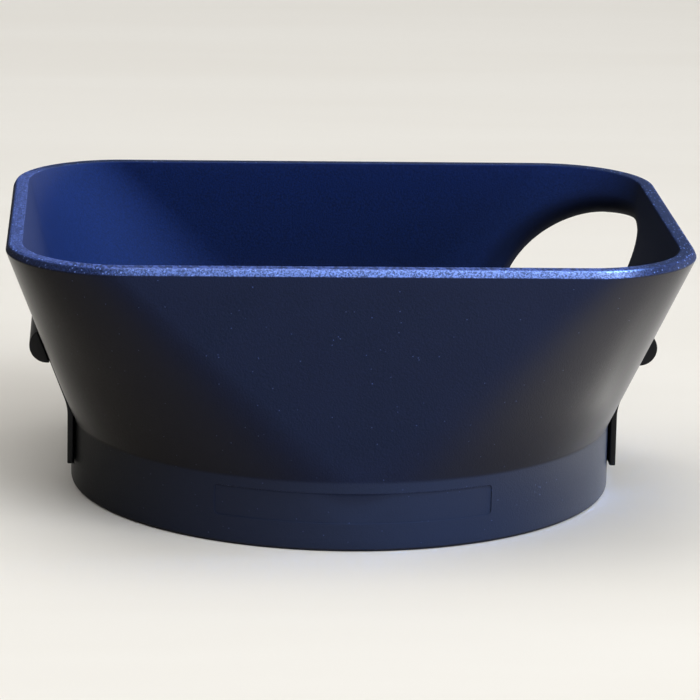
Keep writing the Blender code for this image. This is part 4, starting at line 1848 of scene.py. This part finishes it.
@dataclass
class Hinge:
    """A lever's hinge pin and torsion spring."""

    side: Side
    finish: bpy.types.Material
    pin_radius: float = 0.4 * MM
    pin_half: float = 7.85 * MM
    pin_soft: float = 0.12 * MM
    pin_bend: float = 0.3
    wire: float = 0.3 * MM
    wire_sides: int = 12
    coil_radius: float = 0.65 * MM
    turns: float = 3.5
    pitch: float = 0.75 * MM
    points_per_turn: int = 36
    leg: float = 5.0 * MM
    leg_steps: int = 10
    spring_degrees: float = 50.0

    def build(self) -> list[bpy.types.Object]:
        """Make pin and spring, in that order."""
        return [self.pin(), self.spring()]

    def pin(self) -> bpy.types.Object:
        """Hinge pin with rounded-off ends.

        Returns:
            The finished piece.
        """
        pocket = LeverPocket()
        radius, half, soft = self.pin_radius, self.pin_half, self.pin_soft
        bend = soft * self.pin_bend
        front = [
            (0.0, -half),
            (radius - soft, -half),
            (radius - bend, bend - half),
            (radius, soft - half),
        ]
        rear = [(across, -along) for across, along in reversed(front)]
        pin = revolve(f"pivot_pin_{self.side.label}", front + rear)
        place = Matrix.Translation((self.side.value * pocket.pivot_x, 0.0, pocket.pivot_z))
        pin.data.transform(place @ Matrix.Rotation(math.pi / 2, 4, "X"))
        pin.data.materials.append(self.finish)
        shade(pin.data)
        return pin

    def path(self) -> list[Vector]:
        """The wire's centre line: floor leg, coil about the pin, lever leg.

        Returns:
            Its points, in order.
        """
        pocket = LeverPocket()
        span = self.turns * self.pitch
        x, z, radius = pocket.pivot_x, pocket.pivot_z, self.coil_radius
        points = []
        for step in range(self.leg_steps):
            up = self.leg * (1 - step / self.leg_steps)
            lean = max(0.0, z + up - pocket.knee) * math.tan(pocket.lean)
            points.append((x - radius + lean, -span / 2, z + up))
        count = int(self.turns * self.points_per_turn)
        for step in range(count + 1):
            angle = math.pi + step / count * self.turns * 2 * math.pi
            y = (step / count - 0.5) * span
            points.append((x + radius * math.cos(angle), y, z + radius * math.sin(angle)))
        for step in range(1, self.leg_steps + 1):
            up = self.leg * step / self.leg_steps
            lean = max(0.0, z + up - ReleaseLever.bend_z) * math.tan(ReleaseLever.lean)
            points.append((x + radius + lean, span / 2, z + up))
        return [Vector((self.side.value * px, py, pz)) for px, py, pz in points]

    def spring(self) -> bpy.types.Object:
        """Torsion spring: a geometry tree sweeps the wire along its path.

        Returns:
            The finished piece.
        """
        points = self.path()
        name = f"return_spring_{self.side.label}"
        mesh = bpy.data.meshes.new(name)
        mesh.from_pydata(points, [(k, k + 1) for k in range(len(points) - 1)], [])
        spring = link(bpy.data.objects.new(name, mesh))
        tree = GeometryTree("wire_sweep", "Wire Radius")
        line = tree.out("GeometryNodeMeshToCurve", inputs={0: tree.given("Geometry")})
        inputs = {"Resolution": self.wire_sides, "Radius": tree.given("Wire Radius")}
        ring = tree.out("GeometryNodeCurvePrimitiveCircle", inputs=inputs)
        inputs = {0: line, 1: ring, "Fill Caps": True}
        tree.finish(tree.out("GeometryNodeCurveToMesh", inputs=inputs))
        tree.run(spring, {"Wire Radius": self.wire / 2, "Material": self.finish})
        shade(spring.data, self.spring_degrees)
        return spring

    def dress(self, pieces: Sequence[bpy.types.Object]) -> None:
        """Fix the pin in the shell and let the spring follow both shell and lever.

        Args:
            pieces: Pin and spring.
        """
        pocket = LeverPocket()
        pin, spring = pieces
        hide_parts(f"pivot_pin_{self.side.label}")
        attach(pin, "hood")
        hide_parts(f"return_spring_{self.side.label}")
        reach = self.turns * self.pitch / 2
        x, z = self.side.value * pocket.pivot_x, pocket.pivot_z
        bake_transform(spring, "hood", self.side.body, start=(x, -reach, z), end=(x, reach, z))


@dataclass(frozen=True)
class Lamp:
    """One soft area light, aimed at the hood."""

    name: str
    place: Place
    size: Point2
    watts: float
    colour: Colour
    hood_only: bool = False
    target: Place = (0.0, 0.0, 0.012)

    def make(self, hood: bpy.types.Collection) -> None:
        """Add the light.

        Args:
            hood: Holds the shell that a hood-only light falls on.
        """
        data = bpy.data.lights.new(self.name, "AREA")
        data.shape = "RECTANGLE"
        data.size, data.size_y = self.size
        data.energy = self.watts
        data.color = self.colour
        lamp = link(bpy.data.objects.new(self.name, data))
        if self.hood_only:
            lamp.light_linking.receiver_collection = hood
        lamp.location = self.place
        aim = Vector(self.target) - lamp.location
        lamp.rotation_euler = aim.to_track_quat("-Z", "Y").to_euler()


@dataclass
class Studio:
    """Table top, soft light and the camera at the photograph's viewing angle."""

    azimuth: float = math.radians(-3.406)
    elevation: float = math.radians(15.809)
    distance: float = 423.24 * MM
    roll: float = math.radians(1.159)
    pan: float = math.radians(0.126)
    tilt: float = math.radians(1.793)
    focal_pixels: float = 3963.4
    sensor: float = 36.0
    near_clip: float = 10.0 * MM
    table_half: float = 2.5
    table_gap: float = 0.02 * MM
    table_cells: int = 8
    room_left: Colour = (0.14, 0.133, 0.128)
    room_right: Colour = (0.16, 0.16, 0.165)
    room_span: Span = (-0.9, 0.9)
    lamps: tuple[Lamp, ...] = (
        Lamp("cool_front_panel", (0.48, -0.70, 0.17), (0.45, 0.24), 15.0, (0.12, 0.28, 1.0), True),
        Lamp("cool_high_panel", (0.40, -0.10, 0.80), (0.35, 0.35), 62.0, (0.18, 0.38, 1.0), True),
        Lamp("cool_rim_panel", (0.28, -0.60, 0.62), (0.60, 0.30), 9.0, (0.22, 0.40, 1.0), True),
        Lamp("front_right_panel", (0.45, -0.55, 0.62), (0.60, 0.50), 5.0, (0.98, 0.99, 1.0)),
        Lamp("overhead_panel", (0.0, -0.10, 1.05), (1.2, 1.2), 7.0, (1.0, 0.97, 0.93)),
        Lamp("back_panel", (-0.20, 0.40, 1.0), (0.80, 0.80), 2.8, (1.0, 0.97, 0.93)),
        Lamp("low_right_panel", (0.80, 0.42, 0.10), (0.50, 0.28), 14.6, (0.99, 1.0, 0.97), True),
        Lamp(
            "right_card",
            (0.066, -0.042, 0.0066),
            (0.05, 0.08),
            0.048,
            (1.0, 0.99, 0.93),
            True,
            (0.060, -0.040, 0.08),
        ),
    )

    def build(self, shell: bpy.types.Object) -> None:
        """Make table, light and camera.

        Args:
            shell: The moulded shell, which the tinted panels light alone.
        """
        self.table()
        hood = bpy.data.collections.new("moulded_pieces")
        hood.objects.link(shell)
        for lamp in self.lamps:
            lamp.make(hood)
        self.world()
        self.camera()

    def table(self) -> None:
        """A wide pale table top just under the hood's foot."""
        shape = bmesh.new()
        cells, half = self.table_cells, self.table_half
        bmesh.ops.create_grid(shape, x_segments=cells, y_segments=cells, size=half)
        for vertex in shape.verts:
            vertex.co.z = -self.table_gap
        mesh = bpy.data.meshes.new("table_top")
        shape.to_mesh(mesh)
        shape.free()
        mesh.materials.append(PaleTable().material())
        link(bpy.data.objects.new("table_top", mesh))

    def world(self) -> None:
        """A dim surrounding light that is brighter towards the right, and plain colour handling."""
        scene = bpy.context.scene
        scene.view_settings.view_transform = "Standard"
        world = bpy.data.worlds.new("soft_room")
        scene.world = world
        world.use_nodes = True
        graph = Graph(world.node_tree)
        back = graph.tree.nodes["Background"]
        way = graph.out("ShaderNodeTexCoord", output="Generated")
        across = graph.out("ShaderNodeSeparateXYZ", inputs={0: way}, output="X")
        colour = graph.blend(across.ramp(*self.room_span), self.room_left, self.room_right)
        graph.put(back.inputs["Color"], colour)
        graph.put(back.inputs["Strength"], 1.0)

    def camera(self) -> None:
        """Set up the camera from its fitted angles."""
        turn, rise, upwards = self.azimuth, self.elevation, Vector((0.0, 0.0, 1.0))
        flat = math.cos(rise)
        back = Vector((math.sin(turn) * flat, -math.cos(turn) * flat, math.sin(rise)))
        ahead = -back
        right = ahead.cross(upwards).normalized()
        up = right.cross(ahead)
        aim = (
            ahead * math.cos(self.tilt) * math.cos(self.pan)
            + right * math.sin(self.pan) * math.cos(self.tilt)
            + up * math.sin(self.tilt)
        ).normalized()
        right = aim.cross(upwards).normalized()
        up = right.cross(aim)
        level = right * math.cos(self.roll) + up * math.sin(self.roll)
        upright = up * math.cos(self.roll) - right * math.sin(self.roll)
        data = bpy.data.cameras.new("photo_camera")
        data.sensor_width = self.sensor
        data.lens = self.focal_pixels / PHOTO_PIXELS * self.sensor
        data.clip_start = self.near_clip
        eye = link(bpy.data.objects.new("photo_camera", data))
        turned = Matrix((level, upright, -aim)).transposed().to_4x4()
        eye.matrix_world = Matrix.Translation(back * self.distance) @ turned
        bpy.context.scene.camera = eye


def main() -> None:
    """Build every sub-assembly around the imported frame, then the studio."""
    logging.basicConfig(level=logging.INFO, format="%(name)s: %(message)s")
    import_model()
    hood = HoodShell(MouldedBlack())
    shell = hood.build()
    hood.dress(shell)
    pieces = [shell]
    sheet = SatinBlack("blackened_steel").material()
    bar = SatinBlack("grip_black", roughness=0.52).material()
    head = SatinBlack("blackened_rivet", roughness=0.42).material()
    steel = DrawnSteel().material()
    for side in Side:
        lever = ReleaseLever(side, sheet, bar, head)
        lever_pieces = lever.build()
        lever.dress(lever_pieces)
        hinge = Hinge(side, steel)
        hinge_pieces = hinge.build()
        hinge.dress(hinge_pieces)
        pieces += [*lever_pieces, *hinge_pieces]
    for piece in pieces:
        log.info("%s: %d faces", piece.name, len(piece.data.polygons))
    Studio().build(shell)


if __name__ == "__main__":
    main()
